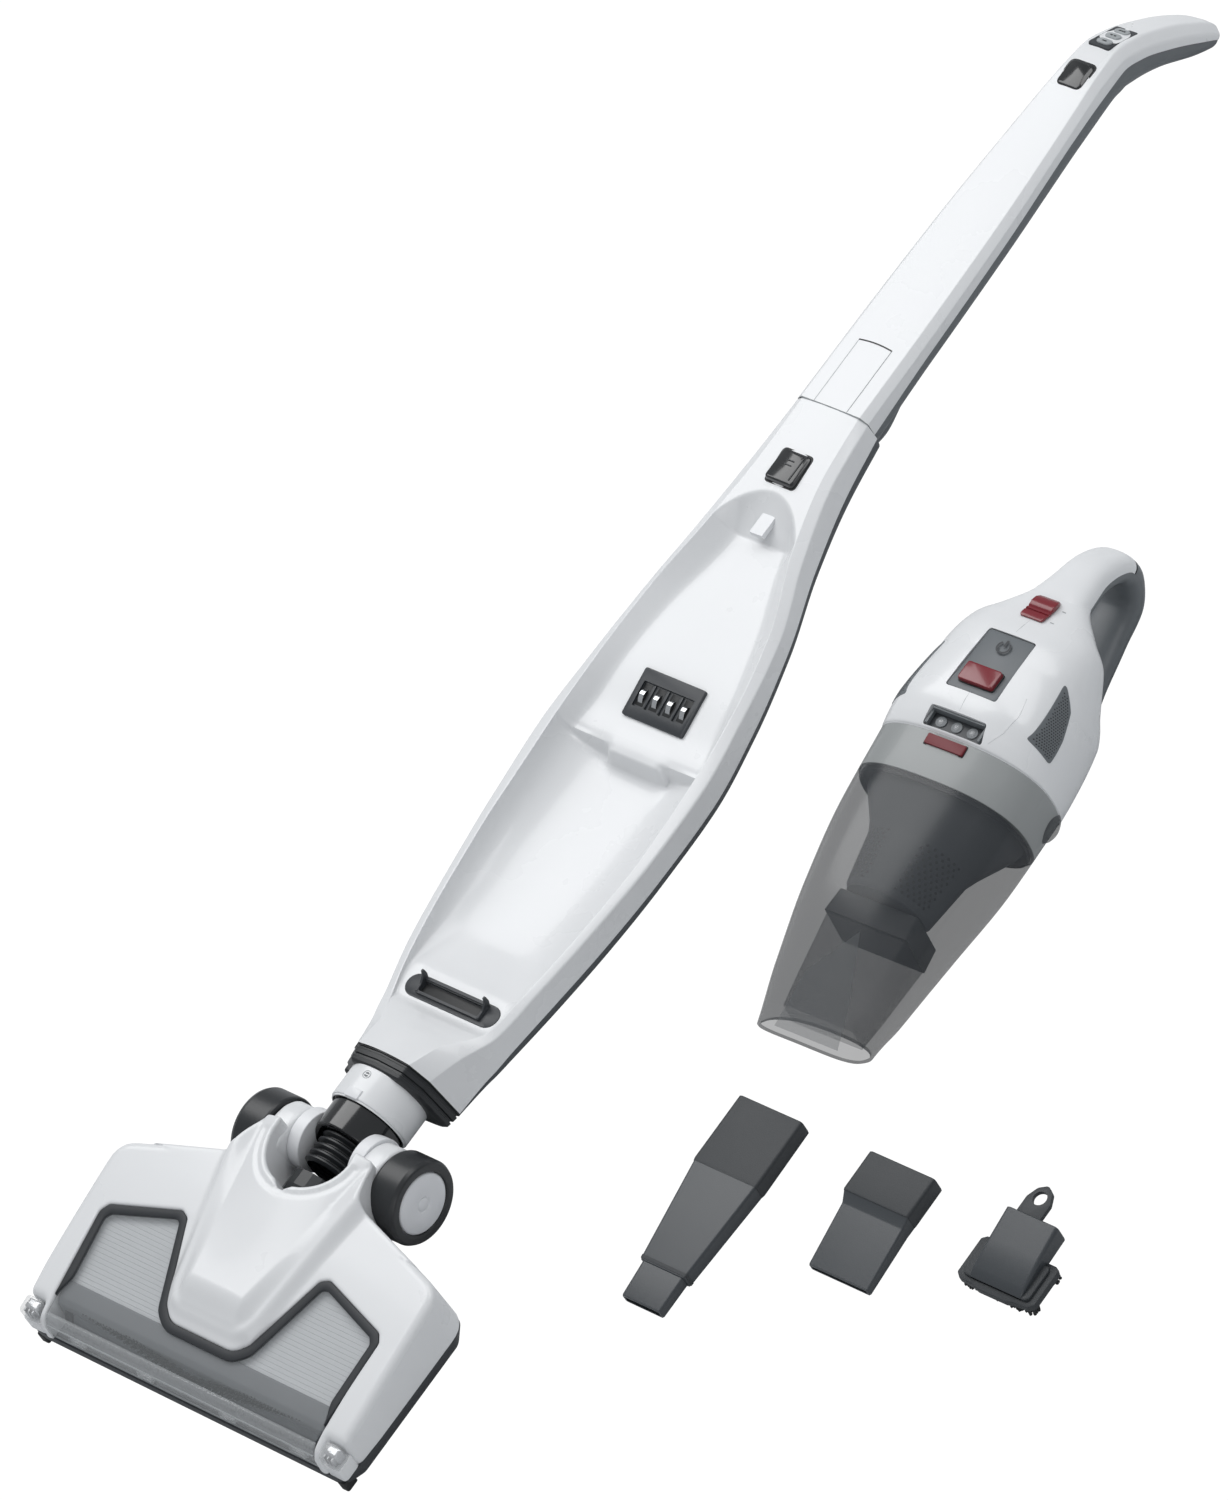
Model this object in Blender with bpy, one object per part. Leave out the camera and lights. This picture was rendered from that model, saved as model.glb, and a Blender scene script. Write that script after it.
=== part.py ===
"""Cordless stick vacuum lying on its back: floor head, cradle stick with handle, handheld unit and nozzles.

X runs across the floor head, +Y from the floor head to the handle, +Z is up. The floor is Z = 0.
Every dimension below is in millimetres from the middle of the floor head's front edge. A mesh is made in
metres, with its origin moved to the middle of the whole layout on the floor.
"""

import math

import bmesh
import bpy
from mathutils import Euler, Matrix, Vector

MM = 0.001
GAP = 0.3
LAYOUT_CENTRE = Vector((156.0, 521.0, 0.0))

WHEEL_RADIUS = 26.0
WHEEL_CENTRE = (160.0, 26.3)
PITCH_AXIS = (166.0, 31.0)
NECK_RADIUS = 26.0
BRUSH_AXIS = (17.0, 17.0)
MOTOR_AXIS = (62.0, 19.0)
HANDHELD_RING = (218.5, 522.0, 50.3)
HANDHELD_TURN = (0.0, 5.0, 3.5)

WHITE = (0.86, 0.865, 0.87)
DARK = (0.035, 0.038, 0.042)
MID_GREY = (0.16, 0.17, 0.18)
RED = (0.26, 0.012, 0.022)
SMOKE = (0.22, 0.22, 0.22)
BLACK = (0.012, 0.012, 0.013)
SILVER = (0.6, 0.6, 0.6)
CLEAR = (0.75, 0.76, 0.77)

# Lower stick, from the neck to the joint with the upper tube: Y, half width at the parting line, its
# height, half width and height of the shoulder, half width and height of the top edge, height of the
# middle, and height of the rear shell's lowest line.
STICK_STATIONS = (
    (222.0, 38.0, 15.0, 30.0, 44.0, 20.0, 56.0, 59.0, 8.0),
    (245.0, 43.0, 19.0, 36.0, 40.0, 25.0, 47.0, 50.0, 6.0),
    (266.0, 48.0, 22.0, 44.0, 36.0, 38.0, 38.0, 38.5, 5.0),
    (300.0, 54.0, 24.0, 51.0, 38.5, 45.5, 40.0, 40.0, 4.5),
    (350.0, 60.5, 25.0, 58.0, 39.5, 52.5, 41.0, 41.0, 5.0),
    (400.0, 65.0, 27.0, 63.0, 41.0, 56.5, 42.5, 42.5, 8.0),
    (450.0, 67.0, 30.0, 65.0, 44.0, 57.0, 46.0, 46.0, 11.0),
    (500.0, 63.0, 36.0, 60.5, 48.5, 54.5, 51.0, 51.0, 17.0),
    (550.0, 56.0, 45.0, 53.5, 54.0, 47.5, 58.0, 58.0, 27.0),
    (600.0, 43.0, 53.0, 40.0, 65.0, 33.0, 69.0, 70.0, 36.0),
    (650.0, 33.0, 59.0, 30.5, 73.0, 24.0, 76.0, 77.0, 41.5),
    (688.5, 29.0, 63.0, 27.5, 75.0, 22.0, 79.0, 80.0, 45.0),
)

# The cradle's hollow: Y, half width and height of its edge, height of its floor.
CRADLE_STATIONS = (
    (267.0, 37.0, 37.5, 31.5),
    (286.0, 42.5, 38.0, 30.5),
    (300.0, 45.0, 39.0, 26.0),
    (350.0, 52.0, 40.5, 20.0),
    (400.0, 55.5, 42.0, 18.0),
    (448.0, 56.3, 45.0, 20.0),
    (456.0, 56.3, 45.5, 21.0),
    (460.0, 56.0, 46.0, 33.5),
    (480.0, 55.0, 48.0, 37.0),
    (510.0, 52.5, 52.0, 43.0),
    (550.0, 47.0, 57.0, 48.5),
    (590.0, 35.0, 66.0, 54.0),
    (606.0, 31.0, 69.0, 56.0),
)

# Upper tube: Y, half width, height of the parting line, of the top and of the rear.
TUBE_STATIONS = (
    (689.0, 27.5, 65.0, 80.0, 49.0),
    (750.0, 27.0, 68.0, 80.0, 51.5),
    (830.0, 25.0, 69.0, 80.0, 52.0),
    (900.0, 21.0, 70.0, 80.0, 52.0),
    (925.0, 19.3, 69.5, 80.0, 51.0),
)

# Handle, along its bend: Y and Z of the middle, tilt in degrees, half width, height above and below.
HANDLE_STATIONS = (
    (925.6, 67.5, 0.0, 19.2, 12.7, 16.5),
    (952.0, 67.5, 0.0, 17.5, 12.7, 17.0),
    (966.0, 66.5, -12.0, 16.8, 12.5, 19.0),
    (982.0, 59.0, -33.0, 16.2, 12.5, 18.0),
    (1002.0, 43.5, -43.0, 15.6, 12.5, 14.5),
    (1022.0, 25.0, -47.0, 15.0, 11.5, 12.5),
    (1037.0, 8.8, -54.0, 12.2, 8.8, 8.2),
    (1041.2, 2.6, -60.0, 7.5, 4.6, 4.0),
)

# Handheld unit from its mouth: Y from the ring, half width, bottom and top from the ring's middle.
BIN_STATIONS = (
    (-190.0, 36.5, -31.0, -3.0),
    (-150.0, 42.5, -35.0, 13.0),
    (-103.0, 50.0, -38.0, 27.0),
    (-50.0, 57.0, -41.0, 34.0),
    (-1.0, 59.0, -42.0, 38.5),
)
BODY_STATIONS = (
    (0.0, 59.2, -43.0, 39.5),
    (8.0, 59.0, -44.0, 43.6),
    (22.0, 58.0, -45.0, 47.3),
    (49.0, 54.3, -43.5, 45.3),
    (57.5, 52.3, -43.0, 44.0),
    (59.5, 51.8, -29.5, 43.7),
    (72.0, 48.0, -19.0, 41.3),
    (84.0, 43.4, -8.0, 36.2),
    (96.0, 32.0, 2.0, 31.0),
    (110.0, 20.0, 8.5, 26.5),
)
# The loop of the handle behind the body: Y and Z of the middle, tilt, half width, half thickness.
LOOP_STATIONS = (
    (110.6, 17.2, 0.0, 19.5, 9.4),
    (122.0, 13.0, -18.0, 16.5, 10.2),
    (134.0, 9.8, -24.0, 14.8, 10.0),
    (147.0, 2.0, -40.0, 14.2, 9.6),
    (156.0, -9.0, -75.0, 14.0, 9.0),
    (157.0, -22.0, -98.0, 14.0, 8.6),
    (151.5, -34.0, -132.0, 14.2, 8.2),
    (138.0, -39.8, -165.0, 15.0, 7.6),
    (118.0, -40.4, -180.0, 17.5, 7.2),
    (95.0, -39.6, -182.0, 22.0, 7.4),
    (60.4, -37.6, -183.0, 31.0, 8.4),
)
LOOP_WHITE = 5
SWITCH_TILT = -20.5
SWITCH_POINT = (0.0, 97.0, 31.0)
PANEL_TILT = -6.0
PANEL_POINT = (0.0, 49.5, 44.9)
# A side vent's corners on the body's flank: along, out from the middle, up.
VENT_CORNERS = ((57.0, 38.0, 33.0), (16.3, 42.0, 37.0), (12.5, 53.5, 22.5), (44.0, 49.5, 25.5))


def clear_scene():
    for obj in list(bpy.data.objects):
        bpy.data.objects.remove(obj, do_unlink=True)
    for mesh in list(bpy.data.meshes):
        bpy.data.meshes.remove(mesh)


def plastic(name, colour, roughness, transmission=0.0, metallic=0.0):
    material = bpy.data.materials.new(name)
    material.use_nodes = True
    shader = material.node_tree.nodes["Principled BSDF"]
    shader.inputs["Base Color"].default_value = (*colour, 1.0)
    shader.inputs["Roughness"].default_value = roughness
    shader.inputs["Transmission Weight"].default_value = transmission
    shader.inputs["Metallic"].default_value = metallic
    return material


def solid(name, points, faces, colour=WHITE, roughness=0.3, pivot=(0.0, 0.0, 0.0), **look):
    """A closed mesh from points in millimetres, with its origin at the pivot."""
    origin = Vector(pivot)
    mesh = bpy.data.meshes.new(name)
    mesh.from_pydata([(Vector(p) - origin) * MM for p in points], [], faces)
    shape = bmesh.new()
    shape.from_mesh(mesh)
    bmesh.ops.recalc_face_normals(shape, faces=shape.faces)
    if shape.calc_volume(signed=True) < 0:
        bmesh.ops.reverse_faces(shape, faces=shape.faces)
    shape.to_mesh(mesh)
    shape.free()
    mesh.shade_smooth()
    mesh.set_sharp_from_angle(angle=math.radians(32))
    mesh.materials.append(plastic(name, colour, roughness, **look))
    obj = bpy.data.objects.new(name, mesh)
    obj.location = (origin - LAYOUT_CENTRE) * MM
    bpy.context.scene.collection.objects.link(obj)
    return obj


def loft(name, rings, closed=False, **look):
    """Skins rings of equal length; the two ends are capped unless the rings close on themselves."""
    count = len(rings[0])
    points = [p for ring in rings for p in ring]
    faces = []
    spans = len(rings) if closed else len(rings) - 1
    for i in range(spans):
        j = (i + 1) % len(rings)
        for k in range(count):
            n = (k + 1) % count
            faces.append((i * count + k, i * count + n, j * count + n, j * count + k))
    if not closed:
        faces.append(tuple(range(count)))
        faces.append(tuple((len(rings) - 1) * count + k for k in reversed(range(count))))
    return solid(name, points, faces, **look)


def box(name, low, high, turn=None, about=None, **look):
    x0, y0, z0 = low
    x1, y1, z1 = high
    ring = [(x0, y0), (x1, y0), (x1, y1), (x0, y1)]
    rings = [[(x, y, z) for x, y in ring] for z in (z0, z1)]
    if turn is not None:
        rings = [turned(ring, turn, about) for ring in rings]
    return loft(name, rings, **look)


def turned(ring, degrees, about):
    """The ring turned about an X axis through the point."""
    matrix = Matrix.Rotation(math.radians(degrees), 3, "X")
    centre = Vector(about)
    return [tuple(matrix @ (Vector(p) - centre) + centre) for p in ring]


def slab(name, low, high, chamfer, top_inset, **look):
    """A key or button: rounded corners in plan, with a chamfer round the top."""
    x0, y0, z0 = low
    x1, y1, z1 = high
    rings = []
    for z, inset in ((z0, 0.0), (z1 - top_inset, 0.0), (z1, top_inset)):
        a, b, c, d = x0 + inset, x1 - inset, y0 + inset, y1 - inset
        plan = [(a + chamfer, c), (b - chamfer, c), (b, c + chamfer), (b, d - chamfer)]
        plan += [(b - chamfer, d), (a + chamfer, d), (a, d - chamfer), (a, c + chamfer)]
        rings.append([(x, y, z) for x, y in plan])
    return loft(name, rings, **look)


def disc_ring(centre, radius, axis, count=20, squash=1.0):
    """Points round a circle whose normal is the named axis."""
    points = []
    for k in range(count):
        a = 2 * math.pi * (k + 0.5) / count
        u, v = radius * math.cos(a), radius * squash * math.sin(a)
        offset = {"X": (0.0, u, v), "Y": (u, 0.0, v), "Z": (u, v, 0.0)}[axis]
        points.append(tuple(c + o for c, o in zip(centre, offset)))
    return points


def turning(name, axis, centre, profile, count=20, **look):
    """A round solid: the profile lists (distance along the axis, radius)."""
    index = "XYZ".index(axis)
    rings = []
    for along, radius in profile:
        point = list(centre)
        point[index] += along
        rings.append(disc_ring(tuple(point), radius, axis, count))
    return loft(name, rings, **look)


def boolean(target, other, operation="DIFFERENCE"):
    modifier = target.modifiers.new(other.name, "BOOLEAN")
    modifier.operation = operation
    modifier.solver = "EXACT"
    modifier.object = other
    other.hide_render = True
    other.display_type = "WIRE"
    return target


def cut(target, *cutters):
    for cutter in cutters:
        boolean(target, cutter)
    return target


def join(target, *others):
    for other in others:
        boolean(target, other, "UNION")
    return target


def oval(half_width, bottom, top, count=16, power=2.6):
    """A rounded section in X and Z, squarer than an ellipse."""
    middle, half_height = (bottom + top) / 2, (top - bottom) / 2
    points = []
    for k in range(count):
        a = 2 * math.pi * (k + 0.5) / count
        c, s = math.cos(a), math.sin(a)
        x = half_width * math.copysign(abs(c) ** (2 / power), c)
        z = middle + half_height * math.copysign(abs(s) ** (2 / power), s)
        points.append((x, z))
    return points


def handheld_matrix():
    turn = Euler([math.radians(a) for a in HANDHELD_TURN]).to_matrix().to_4x4()
    return Matrix.Translation(Vector(HANDHELD_RING)) @ turn


def on_handheld(points):
    matrix = handheld_matrix()
    return [tuple(matrix @ Vector(p)) for p in points]


# ---------------------------------------------------------------- stick

def stick_ring(station):
    y, foot, parting, side, shoulder, edge, top, middle, _ = station
    quarter = middle - (middle - top) * 0.3
    half = [(foot, parting), (side, shoulder), (edge, top), (edge / 2, quarter)]
    flat = [(-x, z) for x, z in half] + [(0.0, middle)] + list(reversed(half))
    return [(x, y, z) for x, z in flat]


def trough_ring(y, half_width, edge, floor, lid=None, count=10, power=2.0):
    """An open-topped U: a rounded floor and, when a lid is given, straight sides up to it."""
    points = []
    for k in range(count + 1):
        a = math.pi * k / count
        c, s = math.cos(a), math.sin(a)
        x = -half_width * math.copysign(abs(c) ** (2 / power), c)
        points.append((x, y, edge - (edge - floor) * abs(s) ** (2 / power)))
    if lid is not None:
        points = [(-half_width, y, lid)] + points + [(half_width, y, lid)]
    return points


def rear_ring(station, wall=0.0, lid=None):
    y, foot, parting, rear = station[0], station[1], station[2], station[-1]
    top = None if lid is None else parting + lid
    return trough_ring(y, foot - 0.6 - wall, parting - GAP, rear + wall, top, 8)


def duct_rings(wall=0.0):
    """The bend that joins the dock's mouth to the neck, as rings from the neck upwards."""
    path = ((221.0, 29.5, 0.0, 14.5, 14.5), (236.0, 28.5, 0.0, 15.0, 13.5))
    path += ((254.0, 24.0, 25.0, 20.0, 8.0), (270.0, 26.0, 70.0, 23.0, 5.6))
    path += ((275.7, 31.6, 90.0, 24.0, 5.0),)
    rings = []
    for y, z, tilt, half_width, half_height in path:
        slope = math.radians(tilt)
        up = Vector((0.0, -math.sin(slope), math.cos(slope)))
        ring = []
        for x, h in oval(half_width - wall, -(half_height - wall), half_height - wall, 14, 2.2):
            ring.append(tuple(Vector((x, y, z)) + up * h))
        rings.append(ring)
    return rings


def stretched(rings, start, end):
    """The rings with one more at each end, moved out by these distances, so that a cutter passes through."""
    first = [tuple(Vector(p) + Vector(start)) for p in rings[0]]
    last = [tuple(Vector(p) + Vector(end)) for p in rings[-1]]
    return [first] + rings + [last]


def stadium_ring(half_length, half_width, y, z, count=6):
    points = []
    for side in (1.0, -1.0):
        for k in range(count + 1):
            a = -math.pi / 2 + math.pi * k / count
            x = side * (half_length - half_width + half_width * math.cos(a))
            points.append((x, y + side * half_width * math.sin(a), z))
    return points


def make_cradle():
    shell = loft("cradle_shell", [stick_ring(s) for s in STICK_STATIONS])
    bowl = [trough_ring(y, w + 2.2, e - 2.0, f - 2.2) for y, w, e, f in CRADLE_STATIONS[1:9]]
    join(shell, loft("bowl_form", bowl))
    join(shell, box("tongue_form", (-12.6, 680.0, 72.0), (12.6, 736.0, 80.2)))
    hollow = [trough_ring(y, w, e, f, 110.0, 10, 2.4) for y, w, e, f in CRADLE_STATIONS]
    cut(shell, loft("cradle_hollow", hollow))
    cut(shell, loft("duct_space", stretched(duct_rings(-1.7), (0, -6, 0), (0, 0, 0.4))))
    seat = [stadium_ring(36.5, 8.0, 275.7, z) for z in (31.2, 60.0)]
    cut(shell, loft("dock_seat", seat))
    tilt, centre = 12.4, (0.0, 493.5, 40.9)
    low, high = (-24.1, 477.6, 30.0), (24.1, 509.4, 60.0)
    cut(shell, box("contact_seat", low, high, tilt, centre))
    space = [(-18.0, 66.0), (-16.0, 73.5), (16.0, 73.5), (18.0, 66.0), (18.0, 50.0), (-18.0, 50.0)]
    rings = [[(x, y, z) for x, z in space] for y in (613.0, 700.0)]
    cut(shell, loft("wire_space", rings))
    cut(shell, box("release_hole", (-11.6, 632.6, 70.0), (11.6, 656.0, 90.0)))
    cut(shell, box("latch_hole", (-5.6, 600.0, 61.4), (5.6, 620.0, 67.0)))

    back = loft("cradle_back", [rear_ring(s) for s in STICK_STATIONS], colour=DARK, roughness=0.45)
    inner = [rear_ring(s, 2.2, 8.0) for s in STICK_STATIONS]
    cut(back, loft("back_space", stretched(inner[1:], (0, 0.0, 0), (0, 9, 0))))
    cut(back, loft("duct_space_back", stretched(duct_rings(-1.7), (0, -6, 0), (0, 0, 0.4))))

    duct = loft("suction_duct", stretched(duct_rings(), (0, -9.4, 0), (0, 0, 0.1)), colour=BLACK)
    cut(duct, loft("duct_bore", stretched(duct_rings(1.8), (0, -12, 0), (0, 0, 4))))
    return shell, back, duct


def make_cradle_trim():
    rings = [stadium_ring(36.0, 7.5, 275.7, z) for z in (32.0, 34.4)]
    plate = loft("dock_plate", rings, colour=DARK)
    for side in (-1.0, 1.0):
        name = "ear_form_right" if side > 0 else "ear_form_left"
        x = side * 25.2
        join(plate, box(name, (x - 2.0, 279.6, 33.0), (x + 2.0, 282.8, 39.0)))
    cut(plate, loft("dock_mouth", [stadium_ring(23.0, 3.2, 275.7, z) for z in (30.0, 40.0)]))

    tilt, centre = 12.4, (0.0, 493.5, 40.9)
    low, high = (-23.7, 478.0, 38.2), (23.7, 509.0, 41.0)
    contact = box("contact_plate", low, high, tilt, centre, colour=DARK)
    low, high = (-21.0, 484.0, 34.4), (21.0, 503.0, 36.4)
    springs = box("contact_springs", low, high, tilt, centre, colour=SILVER)
    for k in range(4):
        x = -16.2 + 10.8 * k
        slot = box(f"slot_{k}", (x - 3.2, 486.0, 37.0), (x + 3.2, 502.0, 45.0), tilt, centre)
        cut(contact, slot)
        finger = box(f"finger_{k}", (x - 1.8, 489.0, 36.0), (x + 1.8, 498.0, 41.8), tilt, centre)
        join(springs, finger)

    low, high = (-11.1, 633.1, 75.0), (11.1, 655.5, 79.4)
    release = slab("release_button", low, high, 2.0, 1.6, colour=BLACK)
    join(release, box("release_stem", (-4.0, 648.0, 66.5), (4.0, 653.0, 76.0)))
    low, high = (-4.8, 603.0, 62.0), (4.8, 643.0, 65.6)
    latch = box("cradle_latch", low, high, colour=WHITE)
    return plate, contact, springs, release, latch


def make_tube():
    outer, inner, rear_outer, rear_inner = [], [], [], []
    for y, half, parting, top, rear in TUBE_STATIONS:
        flat = [(-half, parting), (-half, top - 5.0), (-half + 4.5, top - 0.6), (0.0, top + 0.3)]
        flat += [(half - 4.5, top - 0.6), (half, top - 5.0), (half, parting)]
        outer.append([(x, y, z) for x, z in flat])
        wall = half - 2.6
        flat = [(-wall, parting - 2), (-wall, top - 5.6), (-wall + 3.4, top - 3.2), (0.0, top - 2.8)]
        flat += [(wall - 3.4, top - 3.2), (wall, top - 5.6), (wall, parting - 2)]
        inner.append([(x, y, z) for x, z in flat])
        rear_outer.append(trough_ring(y, half - 0.5, parting - GAP, rear, None, 8))
        rear_inner.append(trough_ring(y, half - 2.8, parting - GAP, rear + 2.3, parting + 4, 8))
    ends = (0, -4, 0), (0, 4, 0)
    front = loft("tube_front", outer)
    cut(front, loft("tube_space", stretched(inner, *ends)))
    cut(front, box("tongue_notch", (-12.95, 680.0, 70.0), (12.95, 736.4, 90.0)))
    rear = loft("tube_rear", rear_outer, colour=MID_GREY, roughness=0.5)
    hook = []
    bumps = ((690.0, 13.0, 38.0, 55.0), (705.0, 15.0, 35.0, 56.0))
    bumps += ((725.0, 12.0, 40.0, 57.0), (746.0, 8.0, 50.0, 57.0))
    for y, half, low, high in bumps:
        hook.append([(x, y, z) for x, z in oval(half, low, high, 12, 2.2)])
    join(rear, loft("hook_form", hook))
    cut(rear, loft("rear_space", stretched(rear_inner, *ends)))
    return front, rear


def split_ring(station, upper):
    """The upper or the lower half of a section across the handle."""
    y, z, tilt, half_width, above, below = station
    slope = math.radians(tilt)
    up = Vector((0.0, -math.sin(slope), math.cos(slope)))
    reach, sign = (above, 1.0) if upper else (below, -1.0)
    ring = []
    for k in range(9):
        a = math.pi * k / 8
        c, s = math.cos(a), math.sin(a)
        x = half_width * math.copysign(abs(c) ** 0.8, c)
        h = sign * (GAP / 2 + (reach - GAP / 2) * abs(s) ** 0.8)
        ring.append(tuple(Vector((x, y, z)) + up * h))
    return ring


def make_handle():
    shell = loft("handle_shell", [split_ring(s, True) for s in HANDLE_STATIONS])
    grip_look = {"colour": MID_GREY, "roughness": 0.6}
    grip = loft("handle_grip", [split_ring(s, False) for s in HANDLE_STATIONS], **grip_look)
    cut(shell, box("power_well", (-10.2, 936.0, 74.0), (10.2, 957.0, 95.0)))
    tilt, centre = -29.5, (0.0, 982.0, 73.4)
    low, high = (-8.5, 968.8, 69.2), (8.5, 995.2, 90.0)
    cut(shell, box("panel_well", low, high, tilt, centre))
    profile = ((0, 3.4), (1, 4.4), (9, 4.4), (10, 3.4))
    join(grip, turning("grip_bump", "X", (-5.0, 972.5, 48.6), profile, 12))

    low, high = (-9.7, 936.5, 76.6), (9.7, 956.5, 82.4)
    power = slab("power_button", low, high, 3.0, 1.8, colour=BLACK)
    panel = box("control_panel", (-8.1, 969.2, 71.4), (8.1, 994.8, 73.6), tilt, centre, colour=BLACK)
    keys = []
    for k in range(3):
        y = 974.2 + 8.0 * k
        rings = []
        for z, half in ((71.2, 5.2), (74.2, 5.2), (74.6, 4.6)):
            rings.append(turned(stadium_ring(half, 2.6 * half / 5.2, y, z, 5), tilt, centre))
        cutter = [turned(stadium_ring(5.6, 3.0, y, z, 5), tilt, centre) for z in (66.0, 80.0)]
        cut(panel, loft(f"key_hole_{k}", cutter))
        keys.append(loft(f"mode_key_{k + 1}", rings, colour=MID_GREY))
    return shell, grip, power, panel, keys


# ---------------------------------------------------------------- neck

def make_neck():
    seal_rings = []
    for y, grow in ((212.0, -2.0), (215.0, 0.0), (221.6, 0.0)):
        seal_rings.append([(x, y, z) for x, z in oval(36.0 + grow, 9.0 - grow, 59.0 + grow, 16, 3.0)])
    seal = loft("base_seal", seal_rings, colour=BLACK, roughness=0.35)
    cut(seal, turning("seal_bore", "Y", (0, 200, 29.5), ((0, 15.2), (40, 15.2))))

    y, z = PITCH_AXIS
    profile = ((0, 25.6), (1, NECK_RADIUS), (21.6, NECK_RADIUS))
    collar = turning("neck_collar", "Y", (0, 190, z), profile, 28)
    profile = ((0, 23.3), (25, 23.3), (25, 12.4), (50, 12.4))
    cut(collar, turning("collar_bore", "Y", (0, 180, z), profile, 24))
    cut(collar, turning("screw_seat", "Z", (0, 206, 52), ((0, 2.6), (9, 2.6)), 10))
    screw = turning("collar_screw", "Z", (0, 206, 52.4), ((0, 2.2), (3.6, 2.2)), 10, colour=SILVER)

    look = {"colour": BLACK, "roughness": 0.15}
    tube = turning("neck_tube", "Y", (0, 172, z), ((0, 23.0), (29, 23.0)), 28, **look)
    profile = ((0, 21), (2, 22.5), (50.4, 22.5), (52.4, 21))
    join(tube, turning("barrel_form", "X", (-26.2, y, z), profile, 24))
    join(tube, turning("trunnion_form", "X", (-32, y, z), ((0, 6), (64, 6)), 12))
    cut(tube, turning("tube_bore", "Y", (0, 130, z), ((0, 17.5), (34, 17.5), (40, 17.5), (90, 17.5)), 20))
    profile = []
    for k in range(7):
        profile += [(6.0 * k, 14.0), (6.0 * k + 1.5, 16.4), (6.0 * k + 4.5, 16.4)]
    hose = turning("neck_hose", "Y", (0, 152, z), profile + [(42.0, 14.0)], 14, colour=BLACK)
    cut(hose, turning("hose_bore", "Y", (0, 140, z), ((0, 12.4), (70, 12.4)), 14))
    return seal, collar, screw, tube, hose


# ---------------------------------------------------------------- floor head

def window_level(y):
    return 31.5 + 0.155 * y


HEAD_STATIONS = (
    (-1.0, 125.0, 26.0),
    (9.0, 127.0, 33.0),
    (30.0, 127.8, 37.2),
    (75.0, 128.0, 44.0),
    (97.0, 127.0, 47.0),
    (112.0, 117.0, 49.0),
    (134.0, 52.0, 51.0),
)

# Half outlines in X and Y round the window: the gasket's outside and inside, the opening in the shell
# and the pane.
GASKET_OUTER = ((-106, 14), (-111, 69), (-108, 74), (-59, 89), (-54, 87), (-34, 36), (-27, 29))
GASKET_INNER = ((-100.5, 14), (-105, 66), (-103, 69), (-60, 82.5), (-58, 82), (-38, 31), (-29, 22.5))
OPENING = ((-111.4, 69.2), (-108.2, 74.5), (-58.8, 89.5), (-53.5, 87.2), (-33.5, 36.1), (-26.7, 29.4))
PANE_CORNERS = ((-104.5, 65.4), (-102.7, 68.3), (-60.4, 81.8))
PANE_CORNERS += ((-58.7, 81.3), (-38.7, 30.6), (-29.2, 21.9))


def mirrored(outline):
    return list(outline) + [(-x, y) for x, y in reversed(outline)]


def sloped_prism(name, outline, below, above, **look):
    rings = []
    for offset in (below, above):
        rings.append([(float(x), float(y), window_level(y) + offset) for x, y in outline])
    return loft(name, rings, **look)


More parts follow.
